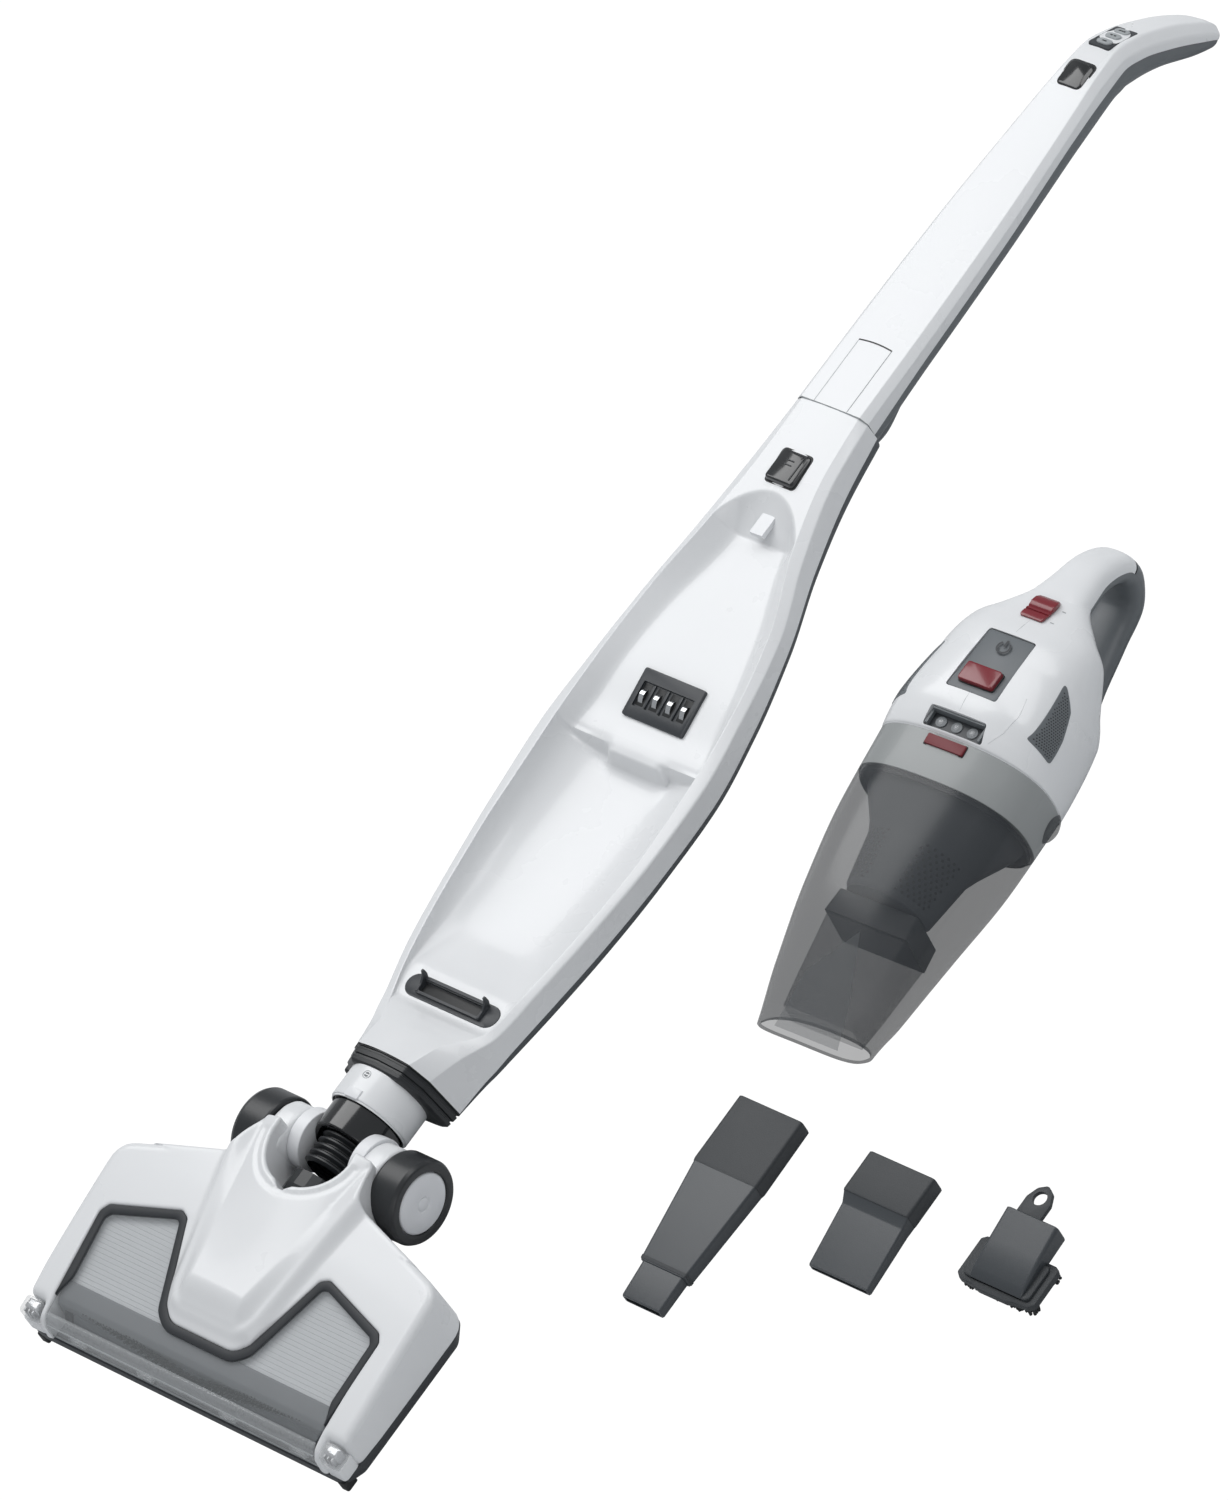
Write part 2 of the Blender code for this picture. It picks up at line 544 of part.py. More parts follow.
def make_head_shells():
    outer, inner = [], []
    for y, half, top in HEAD_STATIONS:
        flat = [(-half, 12.0), (-half + 1, top - 7), (-half + 7, top - 1), (-30.0, top)]
        flat += [(0.0, top + 0.5), (30.0, top), (half - 7, top - 1), (half - 1, top - 7), (half, 12.0)]
        outer.append([(x, y, z) for x, z in flat])
    for y, half, top in HEAD_STATIONS:
        depth = min(max(y, 1.6), 131.0)
        wall = half - 3.0
        flat = [(-wall, 8.0), (-wall + 1, top - 9), (-wall + 6, top - 4), (-26.0, top - 3), (0.0, top - 3)]
        flat += [(26.0, top - 3), (wall - 6, top - 4), (wall - 1, top - 9), (wall, 8.0)]
        inner.append([(x, depth, z) for x, z in flat])
    shell = loft("head_shell", outer)
    tongue = []
    for y, half, top in ((38, 21, 45), (56, 22, 53), (120, 33, 57), (150, 42, 57)):
        flat = [(-half - 9, window_level(y) - 1.5), (-half, top), (0, top + 3.5), (half, top)]
        flat += [(half + 9, window_level(y) - 1.5)]
        tongue.append([(float(x), float(y), float(z)) for x, z in flat])
    join(shell, loft("tongue_rise", tongue))
    cut(shell, loft("head_space", inner))
    for side in (-1.0, 1.0):
        name = "right" if side > 0 else "left"
        near, far = sorted((side * 27.0, side * 43.6))
        arm = []
        for y, low, high in ((124, 12, 50), (160, 12, 51), (172, 14, 48), (181, 22, 38)):
            ring = [(near, low), (near, high - 4), (near + 4, high), (far - 4, high), (far, high - 4)]
            arm.append([(x, float(y), float(z)) for x, z in ring + [(far, low)]])
        join(shell, loft(f"arm_form_{name}", arm))
        low = side * 43.0
        start = (min(low, side * 62.0), *WHEEL_CENTRE)
        join(shell, turning(f"axle_form_{name}", "X", start, ((0, 3.6), (19.0, 3.6)), 12))
        pin = (min(side * 26.0, side * 33.0), *PITCH_AXIS)
        cut(shell, turning(f"trunnion_bore_{name}", "X", pin, ((0, 6.5), (7.0, 6.5)), 12))
    y, z = PITCH_AXIS
    cut(shell, turning("neck_space", "X", (-26.7, y, z), ((0, 24.2), (53.4, 24.2)), 24))
    cut(shell, turning("hose_way", "Y", (0, 120, z), ((0, 18), (30, 18)), 18))
    cut(shell, box("neck_clearance", (-26.7, 166.0, 0.0), (26.7, 220.0, 90.0)))
    cut(shell, turning("tongue_notch_form", "Z", (0, 154.5, 33), ((0, 26.7), (60, 26.7)), 28))
    opening = mirrored(((-108.0, -20.0), (-108.0, 14.0)) + OPENING)
    rings = [[(float(x), float(y), z) for x, y in opening] for z in (9.0, 52.5)]
    hole = loft("window_hole", rings)
    keep = box("tongue_keep", (-27.0, 29.8, 0.0), (27.0, 60.0, 80.0))
    cut(hole, keep)
    cut(shell, hole)
    for side in (-1.0, 1.0):
        name = "right" if side > 0 else "left"
        x0, x1 = sorted((side * 112.6, side * 140.0))
        cut(shell, box(f"lamp_seat_{name}", (x0, -20.0, 22.6), (x1, 9.4, 60.0)))
    return shell


def make_head_base():
    plan = ((-2.6, 122.0), (0.0, 126.5), (30.0, 128.0), (97.0, 128.0), (112.0, 119.0), (134.0, 54.0))
    outline = [(-x, y) for y, x in plan] + [(x, y) for y, x in reversed(plan)]
    rings = [[(x, y, z) for x, y in outline] for z in (3.0, 11.6)]
    base = loft("head_base", rings, colour=BLACK, roughness=0.4)
    inset = [(x * 0.972, 56 + (y - 56) * 0.93) for x, y in outline]
    cut(base, loft("tray_space", [[(x, y, z) for x, y in inset] for z in (5.6, 20.0)]))
    cut(base, box("brush_mouth", (-104.0, 3.0, 0.0), (104.0, 35.0, 9.0)))
    for x in (-123.0, 117.0):
        join(base, box(f"foot_form_{'left' if x < 0 else 'right'}", (x, -3.4, 0.4), (x + 6.0, 6.0, 7.0)))
    return base


def make_head_front():
    gasket = mirrored(GASKET_OUTER)
    gasket = sloped_prism("window_gasket", gasket, -3.0, 0.5, colour=BLACK)
    hole = [(x, y) for x, y in GASKET_INNER]
    hole = [(-101.5, 0.0)] + hole[1:] + [(-x, y) for x, y in reversed(hole[1:])] + [(101.5, 0.0)]
    cut(gasket, sloped_prism("gasket_hole", hole, -10.0, 10.0))
    rise = box("tongue_gap", (-27.4, 29.4, 0.0), (27.4, 70.0, 80.0))
    cut(gasket, rise)

    pane = mirrored(((-101.0, 8.0),) + PANE_CORNERS)
    window = sloped_prism("brush_window", pane, -2.8, -0.6, colour=SMOKE, transmission=0.9)
    front = []
    for y, z in ((-2.0, 13.6), (-1.6, 22.0), (2.0, 30.0), (9.0, 32.2)):
        ring = [(-107.0, y, z), (107.0, y, z), (107.0, y + 2.4, z - 1.2), (-107.0, y + 2.4, z - 1.2)]
        front.append(ring)
    join(window, loft("bumper_form", front))

    plate = [(-103.0, 36.0), (-103.0, 66.0), (-60.0, 84.0), (60.0, 84.0), (103.0, 66.0), (103.0, 36.0)]
    baffle = sloped_prism("baffle_plate", plate, -8.0, -6.2)
    lamps = []
    for side in (-1.0, 1.0):
        name = "right" if side > 0 else "left"
        x0, x1 = sorted((side * 113.0, side * 126.0))
        low, high = (x0, -1.4, 23.0), (x1, 9.0, 32.6)
        lamps.append(box(f"headlight_{name}", low, high, colour=CLEAR, transmission=0.8))
    return gasket, window, baffle, lamps


def belt_ring(radius, x, count=8):
    """A belt's outline round the motor's shaft and the brush roll's end, at one X."""
    ends = (Vector(BRUSH_AXIS), Vector(MOTOR_AXIS))
    along = (ends[1] - ends[0]).normalized()
    start = math.atan2(along.y, along.x)
    points = []
    for centre, turn, size in ((ends[0], math.pi / 2, radius + 3.0), (ends[1], -math.pi / 2, radius)):
        for k in range(count + 1):
            a = start + turn + math.pi * k / count
            points.append((x, centre.x + size * math.cos(a), centre.y + size * math.sin(a)))
    return points


def make_drive():
    y, z = BRUSH_AXIS
    pivot = (0.0, y, z)
    profile = ((0, 7.4), (7, 7.4), (7, 8.6), (205, 8.6))
    core = turning("brush_roll", "X", (-103.0, y, z), profile, 14, colour=BLACK, pivot=pivot)
    for k in range(4):
        tuft = []
        for j in range(9):
            x = -92.0 + 23.2 * j
            a = math.radians(90.0 * k + 14.0 * abs(j - 4))
            out, side = Vector((0, math.cos(a), math.sin(a))), Vector((0, -math.sin(a), math.cos(a)))
            base = Vector((x, y, z))
            corners = [out * 7.0 - side * 2.0, out * 7.0 + side * 2.0]
            corners += [out * 12.6 + side * 1.6, out * 12.6 - side * 1.6]
            tuft.append([tuple(base + c) for c in corners])
        join(core, loft(f"tuft_form_{k}", tuft))
    profile = ((0, 11.0), (2, 12.0), (44, 12.0), (46, 11.0))
    motor = turning("brush_motor", "X", (-94.0, *MOTOR_AXIS), profile, 18, colour=SILVER)
    pivot = (-99.0, *MOTOR_AXIS)
    start, profile = (-103.0, *MOTOR_AXIS), ((0, 4.4), (8.4, 4.4))
    pulley = turning("motor_pulley", "X", start, profile, 12, colour=BLACK, pivot=pivot)
    belt = loft("drive_belt", [belt_ring(6.2, x) for x in (-102.4, -96.6)], colour=BLACK)
    cut(belt, loft("belt_hole", [belt_ring(4.8, x) for x in (-110.0, -90.0)]))
    return core, motor, pulley, belt


def head_duct_rings(wall, first, last):
    z = PITCH_AXIS[1]
    path = ((first, 44.0, 14.0, 7.5), (70.0, 40.0, 17.0, 9.0), (105.0, 26.0, 25.0, 12.5))
    path += ((132.0, 16.5, z, 16.5), (last, 16.5, z, 16.5))
    rings = []
    for y, half, mid, tall in path:
        low, high = mid - tall + wall, mid + tall - wall
        rings.append([(x, y, v) for x, v in oval(half - wall, low, high, 16, 2.3)])
    return rings


def make_head_duct():
    duct = loft("head_duct", head_duct_rings(0.0, 38.0, 142.0), colour=BLACK)
    return cut(duct, loft("head_duct_bore", head_duct_rings(1.6, 37.0, 146.0)))


def make_wheels():
    y, z = WHEEL_CENTRE
    for side in (-1.0, 1.0):
        name = "right" if side > 0 else "left"
        pivot = (side * 54.5, y, z)
        profile = ((0, 24.0), (2.0, WHEEL_RADIUS), (19.0, WHEEL_RADIUS), (21.0, 24.5))
        start = (44.2, y, z) if side > 0 else (-44.2, y, z)
        turned_profile = [(side * a, r) for a, r in profile]
        look = {"colour": BLACK, "roughness": 0.5, "pivot": pivot}
        tyre = turning(f"tyre_{name}", "X", start, turned_profile, 28, **look)
        bore = ((-1, 5.0), (5.0, 5.0), (5.0, 19.4), (30, 19.4))
        cut(tyre, turning(f"tyre_bore_{name}", "X", start, [(side * a, r) for a, r in bore], 24))
        profile = [(side * a, 19.0) for a in (0, 15.4)]
        hub = turning(f"hub_{name}", "X", (side * 49.6, y, z), profile, 24, pivot=pivot)
        bore = [(side * a, 4.0) for a in (0, 23.0)]
        cut(hub, turning(f"hub_bore_{name}", "X", (side * 40.0, y, z), bore, 12))


# ---------------------------------------------------------------- handheld unit

def hand_loft(name, rings, **look):
    return loft(name, [on_handheld(ring) for ring in rings], **look)


def hand_box(name, low, high, tilt=0.0, about=(0.0, 0.0, 0.0), **look):
    x0, y0, z0 = low
    x1, y1, z1 = high
    ring = [(x0, y0), (x1, y0), (x1, y1), (x0, y1)]
    rings = [turned([(x, y, z) for x, y in ring], tilt, about) for z in (z0, z1)]
    return hand_loft(name, rings, **look)


def hand_turning(name, centre, profile, count=18, **look):
    """A round solid about the unit's long axis."""
    x, y, z = centre
    rings = [disc_ring((x, y + along, z), radius, "Y", count) for along, radius in profile]
    return hand_loft(name, rings, **look)


def body_rings(stations, wall=0.0, count=20):
    rings = []
    for y, half, low, high in stations:
        rings.append([(x, y, z) for x, z in oval(half - wall, low + wall, high - wall, count, 2.5)])
    return rings


def vent_form(name, side, inner, outer, grow, **look):
    """A thin slanting plate on the body's flank, between two distances from the surface."""
    middle = [sum(c[k] for c in VENT_CORNERS) / len(VENT_CORNERS) for k in range(3)]
    rings = []
    for lift in (inner, outer):
        ring = []
        for y, x, z in VENT_CORNERS:
            dy, dx, dz = y - middle[0], x - middle[1], z - middle[2]
            size = 1.0 + grow / max(math.hypot(dy, dx, dz), 1.0)
            px, pz = middle[1] + dx * size, middle[2] + dz * size
            ring.append((side * (px + lift * 0.74), middle[0] + dy * size, pz + lift * 0.67))
        rings.append(ring)
    return hand_loft(name, rings, **look)


def make_handheld_body():
    halves = []
    space = body_rings(BODY_STATIONS, 2.4)
    space[-1] = [(x, 105.0, z) for x, y, z in space[-1]]
    space = hand_loft("body_space", stretched(space, (0, -5, 0), (0, 0.1, 0)))
    panel_seat = hand_box("panel_seat", (-16.0, 27.2, 42.4), (16.0, 71.8, 60.0), PANEL_TILT, PANEL_POINT)
    switch_seat = hand_box("switch_seat", (-8.6, 86.6, 21.4), (8.6, 108.6, 60.0), SWITCH_TILT, SWITCH_POINT)
    lamp_seat = hand_box("lamp_seat", (-20.0, -5.0, 35.6), (20.0, 12.4, 60.0))
    boss = hand_box("boss_form", (-13.0, 2.0, -49.0), (13.0, 30.0, -40.0))
    for side in (-1.0, 1.0):
        name = "right" if side > 0 else "left"
        half = hand_loft(f"body_shell_{name}", body_rings(BODY_STATIONS))
        join(half, boss)
        cut(half, space, panel_seat, switch_seat, lamp_seat)
        cut(half, vent_form(f"vent_seat_{name}", side, -3.4, 9.0, 0.4))
        x0, x1 = sorted((-side * 80.0, side * GAP / 2))
        cut(half, hand_box(f"half_cut_{name}", (x0, -20.0, -80.0), (x1, 130.0, 80.0)))
        halves.append(half)
        halves.append(vent_form(f"vent_{name}", side, -2.8, 0.4, 0.0, colour=MID_GREY))
    return halves


def make_handheld_controls():
    panel = hand_box("hand_panel", (-15.6, 27.6, 43.0), (15.6, 71.4, 46.0), PANEL_TILT, PANEL_POINT, colour=MID_GREY)
    cut(panel, hand_box("key_well", (-10.6, 31.6, 30.0), (10.6, 43.6, 60.0)))
    rings = []
    for z, inset in ((46.3, 0.0), (48.8, 0.0), (49.8, 1.0)):
        x, a, b = 10.2 - inset, 32.0 + inset, 43.2 - inset
        rings.append([(-x, a, z), (x, a, z), (x, b, z), (-x, b, z)])
    key = hand_loft("hand_power_key", rings, colour=RED)
    rings = []
    for z, inset in ((22.0, 0.0), (31.4, 0.0), (33.2, 2.0)):
        x, a, b = 8.2 - inset, 87.2 + inset, 101.0 - inset
        ring = [(-x, a, z), (x, a, z), (x, b, z), (-x, b, z)]
        rings.append(turned(ring, SWITCH_TILT, SWITCH_POINT))
    switch = hand_loft("hand_slide_switch", rings, colour=RED)
    lamp = hand_box("hand_lamp", (-19.6, 1.0, 36.0), (19.6, 12.0, 40.6), colour=BLACK)
    return panel, key, switch, lamp


def loop_ring(station, outer_side):
    y, z, tilt, half, thick = station
    slope = math.radians(tilt)
    up = Vector((0.0, -math.sin(slope), math.cos(slope)))
    sign = 1.0 if outer_side else -1.0
    ring = []
    for k in range(9):
        a = math.pi * k / 8
        c, s = math.cos(a), math.sin(a)
        x = half * math.copysign(abs(c) ** 0.8, c)
        h = sign * (GAP / 2 + (thick - GAP / 2) * abs(s) ** 0.8)
        ring.append(tuple(Vector((x, y, z)) + up * h))
    return ring


def make_loop():
    white = hand_loft("hand_handle_shell", [loop_ring(s, True) for s in LOOP_STATIONS[:LOOP_WHITE]])
    look = {"colour": MID_GREY, "roughness": 0.6}
    grey = hand_loft("hand_handle_grip", [loop_ring(s, False) for s in LOOP_STATIONS], **look)
    full = []
    for y, z, tilt, half, thick in LOOP_STATIONS[LOOP_WHITE - 1 :]:
        slope = math.radians(tilt)
        up = Vector((0.0, -math.sin(slope), math.cos(slope)))
        ring = [tuple(Vector((x, y, z)) + up * h) for x, h in oval(half - 0.4, -3.0, thick, 14, 2.4)]
        full.append(ring)
    slope = math.radians(LOOP_STATIONS[LOOP_WHITE - 1][2])
    onward = Vector((0.0, math.cos(slope), math.sin(slope))) * 0.6
    first = [tuple(Vector(p) + onward) for p in full[0]]
    join(grey, hand_loft("loop_back_form", [first] + full[1:]))
    return white, grey


def make_bin():
    dust_bin = hand_loft("dust_bin", body_rings(BIN_STATIONS), colour=SMOKE, transmission=0.85)
    space = body_rings(BIN_STATIONS, 2.0)
    space = [[(x, y + (2.4 if k == 0 else 0.0), z) for x, y, z in ring] for k, ring in enumerate(space)]
    cut(dust_bin, hand_loft("bin_space", stretched(space, (0, 0.0, 0), (0, 5, 0))[1:]))
    cut(dust_bin, hand_box("mouth_opening", (-23.4, -205.0, -25.4), (23.4, -183.0, -8.6)))
    cut(dust_bin, hand_box("catch_seat", (-13.6, -9.6, 28.0), (13.6, -2.8, 60.0)))
    catch = hand_box("bin_catch", (-13.2, -9.2, 32.0), (13.2, -3.2, 40.4), colour=RED)

    rings = []
    stations = ((-189.6, 23.0, -25.0, -9.0), (-150.0, 26.0, -28.0, -3.0), (-112.0, 28.0, -30.0, 3.0))
    for y, half, low, high in stations:
        rings.append([(x, y, z) for x, z in ((-half, low), (half, low), (half, high), (-half, high))])
    duct = hand_loft("bin_inlet", rings, colour=SMOKE, roughness=0.2, transmission=0.7)
    bore = []
    for ring, y in zip(rings, (-195.0, -150.0, -100.0)):
        bore.append([(x - math.copysign(1.6, x), y, z + (1.6 if z < -20 else -1.6)) for x, _, z in ring])
    cut(duct, hand_loft("inlet_bore", bore))

    profile = ((0.0, 22.0), (3.0, 24.5), (70.0, 31.0), (72.0, 34.8), (82.0, 34.8))
    cage = hand_turning("filter_cage", (0.0, -96.0, -3.8), profile, 24, colour=DARK)
    bore = ((2.5, 21.5), (4.0, 22.5), (69.0, 29.0), (90.0, 29.0))
    cut(cage, hand_turning("cage_space", (0.0, -96.0, -3.8), bore, 24))
    pleats = [disc_ring((0.0, y, -3.8), 20.0, "Y", 20) for y in (-91.0, -16.0)]
    filter_core = hand_loft("filter_cloth", pleats, colour=WHITE, roughness=0.9)
    return dust_bin, catch, duct, cage, filter_core


def make_handheld_drive():
    profile = ((0, 24.0), (1.5, 25.0), (8.5, 25.0))
    fan = hand_turning("hand_fan", (0.0, 2.0, -3.0), profile, 20, colour=BLACK)
    profile = ((0.0, 19.0), (2.0, 21.0), (36.0, 21.0), (38.0, 18.0))
    motor = hand_turning("hand_motor", (0.0, 13.0, -3.0), profile, 20, colour=SILVER)
    battery = hand_box("hand_battery", (-20.0, 54.0, -4.0), (20.0, 81.0, 19.0), colour=BLACK)
    return fan, motor, battery


# ---------------------------------------------------------------- nozzles

def flat_tube(name, stations, wall):
    """A rectangular nozzle: stations give Y, middle X, half width, bottom and top."""
    rings, bore = [], []
    for y, middle, half, low, high in stations:
        rings.append(rounded_plate(y, middle, half, low, high, 2.0))
        bore.append(rounded_plate(y, middle, half - wall, low + wall, high - wall, 1.0))
    nozzle = loft(name, rings, colour=DARK, roughness=0.4)
    cut(nozzle, loft(f"{name}_bore", stretched(bore, (0, 3, 0), (0, -3, 0))))
    return nozzle


def rounded_plate(y, middle, half, low, high, corner):
    flat = [(-half + corner, low), (half - corner, low), (half, low + corner), (half, high - corner)]
    flat += [(half - corner, high), (-half + corner, high), (-half, high - corner), (-half, low + corner)]
    return [(middle + x, y, z) for x, z in flat]


def make_nozzles():
    crevice = ((303, 214.5, 24.0, 0.4, 12.4), (257, 214.8, 24.3, 0.4, 12.6), (191, 217.0, 17.0, 0.4, 10.4))
    crevice += ((189.4, 217.2, 15.2, 1.4, 9.4), (167, 217.8, 14.6, 1.4, 8.4))
    flat_tube("crevice_nozzle", crevice, 1.6)
    flat = ((304, 312.8, 24.4, 0.4, 13.0), (277, 312.9, 24.4, 0.4, 13.0), (270, 314.0, 22.6, 0.4, 9.6))
    flat += ((230, 317.0, 22.0, 0.4, 6.4),)
    flat_tube("flat_nozzle", flat, 1.6)

    base = slab("brush_nozzle", (384.0, 258.0, 6.4), (440.0, 287.0, 12.0), 4.0, 1.0, colour=DARK)
    rings = [rounded_plate(304, 412.5, 18.6, 8, 22, 1.5), rounded_plate(263, 413, 18.6, 8, 15, 1.5)]
    join(base, loft("brush_inlet_form", rings))
    tab = [(400.0, 300.0), (400.0, 316.0), (404.0, 322.0), (409.0, 324.5)]
    tab += [(414.0, 322.0), (418.0, 316.0), (418.0, 300.0)]
    join(base, loft("tab_form", [[(x, y, z) for x, y in tab] for z in (18.6, 21.0)]))
    bore = [rounded_plate(309, 412.5, 17.0, 9.8, 16.8, 1.0), rounded_plate(266, 413, 17.0, 9.6, 13.2, 1.0)]
    cut(base, loft("brush_inlet_bore", bore))
    cut(base, turning("tab_hole", "Z", (409.0, 315.5, 0.0), ((0, 4.4), (40, 4.4)), 12))
    low, high = (386.4, 260.4, 0.4), (437.6, 284.6, 6.1)
    bristles = slab("nozzle_bristles", low, high, 3.0, 0.5, colour=BLACK, roughness=0.9)
    cut(bristles, slab("bristle_space", (396.0, 268.0, -4.0), (428.0, 277.0, 20.0), 2.0, 0.5))


# What turns together, and the point on the axis it turns about.
HINGED = {
    "neck_pivot": ((0.0, *PITCH_AXIS), ("neck_tube", "neck_hose")),
    "swivel_pivot": (
        (0.0, 200.0, PITCH_AXIS[1]),
        (
            "base_seal",
            "neck_collar",
            "collar_screw",
            "cradle_shell",
            "cradle_back",
            "suction_duct",
            "dock_plate",
            "contact_plate",
            "contact_springs",
            "release_button",
            "cradle_latch",
            "tube_front",
            "tube_rear",
            "handle_shell",
            "handle_grip",
            "power_button",
            "control_panel",
            "mode_key_1",
            "mode_key_2",
            "mode_key_3",
        ),
    ),
}


def hang_on_pivots():
    """Parents each group that turns together to an empty on its axis."""
    for name, (point, pieces) in HINGED.items():
        pivot = bpy.data.objects.new(name, None)
        pivot.location = (Vector(point) - LAYOUT_CENTRE) * MM
        bpy.context.scene.collection.objects.link(pivot)
        bpy.context.view_layer.update()
        for piece in pieces:
            obj = bpy.data.objects[piece]
            obj.parent = pivot
            obj.matrix_parent_inverse = pivot.matrix_world.inverted()


def main():
    clear_scene()
    make_cradle()
    make_cradle_trim()
    make_tube()
    make_handle()
    make_neck()
    make_head_shells()
    make_head_base()
    make_head_front()
    make_drive()
    make_head_duct()
    make_wheels()
    make_handheld_body()
    make_handheld_controls()
    make_loop()
    make_bin()
    make_handheld_drive()
    make_nozzles()
    hang_on_pivots()


main()
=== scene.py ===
"""Looks of the cordless stick vacuum. Lengths are in millimetres from the middle of the floor head's front edge
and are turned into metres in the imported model's frame when a mesh is made."""
import math

import bmesh
import bpy
import numpy as np
from mathutils import Euler, Matrix, Quaternion, Vector
from mathutils.geometry import delaunay_2d_cdt


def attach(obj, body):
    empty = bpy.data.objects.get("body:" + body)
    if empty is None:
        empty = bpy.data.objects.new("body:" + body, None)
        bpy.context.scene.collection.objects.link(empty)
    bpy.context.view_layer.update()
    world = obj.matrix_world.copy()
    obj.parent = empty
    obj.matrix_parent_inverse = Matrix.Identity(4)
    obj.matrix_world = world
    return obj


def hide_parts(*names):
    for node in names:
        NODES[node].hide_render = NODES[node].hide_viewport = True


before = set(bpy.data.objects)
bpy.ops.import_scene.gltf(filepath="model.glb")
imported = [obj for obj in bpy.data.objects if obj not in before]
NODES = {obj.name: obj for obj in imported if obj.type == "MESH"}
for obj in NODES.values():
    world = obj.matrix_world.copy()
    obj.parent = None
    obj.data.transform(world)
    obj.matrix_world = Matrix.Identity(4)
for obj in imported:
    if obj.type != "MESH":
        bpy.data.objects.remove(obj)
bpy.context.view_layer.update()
CENTRE = np.array([156, 521, 0])
MM = 0.001
# Where the handheld unit lies: the centre of its collar, its roll and its turn.
UNIT_TURN = Euler((0, math.radians(5), math.radians(3.5))).to_matrix().to_4x4()
RING = np.array(Matrix.Translation((218.5, 522, 50.3)) @ UNIT_TURN)
SIDES = ((-1, "left"), (1, "right"))
OPEN = (False, False)


# ---------------------------------------------------------------- materials

def material(name, colour, rough=0.35, grain=0, grain_scale=900, coat=0, metal=0, alpha=1,
             wear=0.03, dust=0.05):
    """Moulded plastic, rubber or metal: slight colour drift, uneven gloss and a fine moulded grain."""
    mat = bpy.data.materials.new(name)
    mat.use_nodes = True
    tree = mat.node_tree
    shader = tree.nodes["Principled BSDF"]
    for key, value in (("Metallic", metal), ("Coat Weight", coat), ("Coat Roughness", 0.08), ("Alpha", alpha)):
        shader.inputs[key].default_value = value
    where = tree.nodes.new("ShaderNodeTexCoord").outputs["Object"]

    def noise(scale, detail):
        node = tree.nodes.new("ShaderNodeTexNoise")
        node.inputs["Scale"].default_value = scale
        node.inputs["Detail"].default_value = detail
        tree.links.new(where, node.inputs["Vector"])
        return node.outputs["Fac"]

    drift = noise(14, 5)
    ramp = tree.nodes.new("ShaderNodeValToRGB")
    for stop, position, share in zip(ramp.color_ramp.elements, (0.3, 0.7), (1 - wear, 1 + wear)):
        stop.position = position
        stop.color = (*[min(1, c * share) for c in colour], 1)
    tree.links.new(drift, ramp.inputs["Fac"])
    tree.links.new(ramp.outputs["Color"], shader.inputs["Base Color"])
    gloss = tree.nodes.new("ShaderNodeMapRange")
    gloss.inputs["To Min"].default_value = max(0.02, rough - dust)
    gloss.inputs["To Max"].default_value = min(1, rough + dust)
    tree.links.new(drift, gloss.inputs["Value"])
    tree.links.new(gloss.outputs["Result"], shader.inputs["Roughness"])
    if grain:
        bump = tree.nodes.new("ShaderNodeBump")
        bump.inputs["Strength"].default_value = grain
        bump.inputs["Distance"].default_value = 0.0002
        tree.links.new(noise(grain_scale, 2), bump.inputs["Height"])
        tree.links.new(bump.outputs["Normal"], shader.inputs["Normal"])
    return mat


WHITE = material("white_gloss", (0.77, 0.78, 0.79), 0.28, grain=0.03, grain_scale=500, coat=0.25, wear=0.012)
WHITE_IN = material("white_satin", (0.80, 0.81, 0.825), 0.4, grain=0.05, grain_scale=600, coat=0.1, wear=0.012)
HUB_WHITE = material("hub_white", (0.74, 0.75, 0.77), 0.4, grain=0.04, coat=0.1, wear=0.015)
CHARCOAL = material("charcoal_satin", (0.034, 0.038, 0.043), 0.42, grain=0.12, grain_scale=1400)
REAR = material("rear_grey", (0.075, 0.084, 0.092), 0.45, grain=0.12, grain_scale=1400)
GREY = material("mid_grey_satin", (0.135, 0.148, 0.158), 0.42, grain=0.12, grain_scale=1400)
PLATE = material("plate_pale", (0.66, 0.675, 0.69), 0.4, grain=0.06, wear=0.02)
BAND = material("band_grey", (0.17, 0.18, 0.19), 0.4, grain=0.06, wear=0.03)
FROST = material("frosted_collar", (0.33, 0.345, 0.345), 0.35, alpha=0.86, coat=0.2, wear=0.04, dust=0)
CAGE = material("cage_charcoal", (0.105, 0.115, 0.125), 0.5, coat=0.1, dust=0.01)
INLET = material("inlet_dark", (0.050, 0.055, 0.060), 0.4, alpha=0.85, dust=0)
INLET_CLEAR = material("inlet_smoked", (0.055, 0.060, 0.064), 0.2, alpha=0.40, coat=0.3)
FLAP = material("inlet_flap", (0.42, 0.44, 0.45), 0.35, alpha=0.42)
KEY_GREY = material("key_grey", (0.34, 0.36, 0.37), 0.45, grain=0.08)
BLACK = material("black_gloss", (0.010, 0.011, 0.012), 0.16, coat=0.5, wear=0.1)
BLACK_SATIN = material("black_satin", (0.016, 0.018, 0.020), 0.36, grain=0.1, grain_scale=1400, wear=0.08)
MARK = material("mark_dark", (0.012, 0.013, 0.014), 0.5)
RED = material("red_gloss", (0.19, 0.008, 0.016), 0.25, grain=0.03, coat=0.4, wear=0.05)
RED_SATIN = material("red_satin", (0.15, 0.008, 0.014), 0.5, coat=0.05, wear=0.05)
RUBBER = material("soft_rubber", (0.014, 0.015, 0.017), 0.5, grain=0.25, grain_scale=1800, wear=0.1)
GASKET = material("gasket_grey", (0.024, 0.027, 0.031), 0.55, grain=0.2, grain_scale=1800, wear=0.06)
TYRE = material("tyre_rubber", (0.020, 0.022, 0.024), 0.34, grain=0.15, grain_scale=1400, wear=0.08)
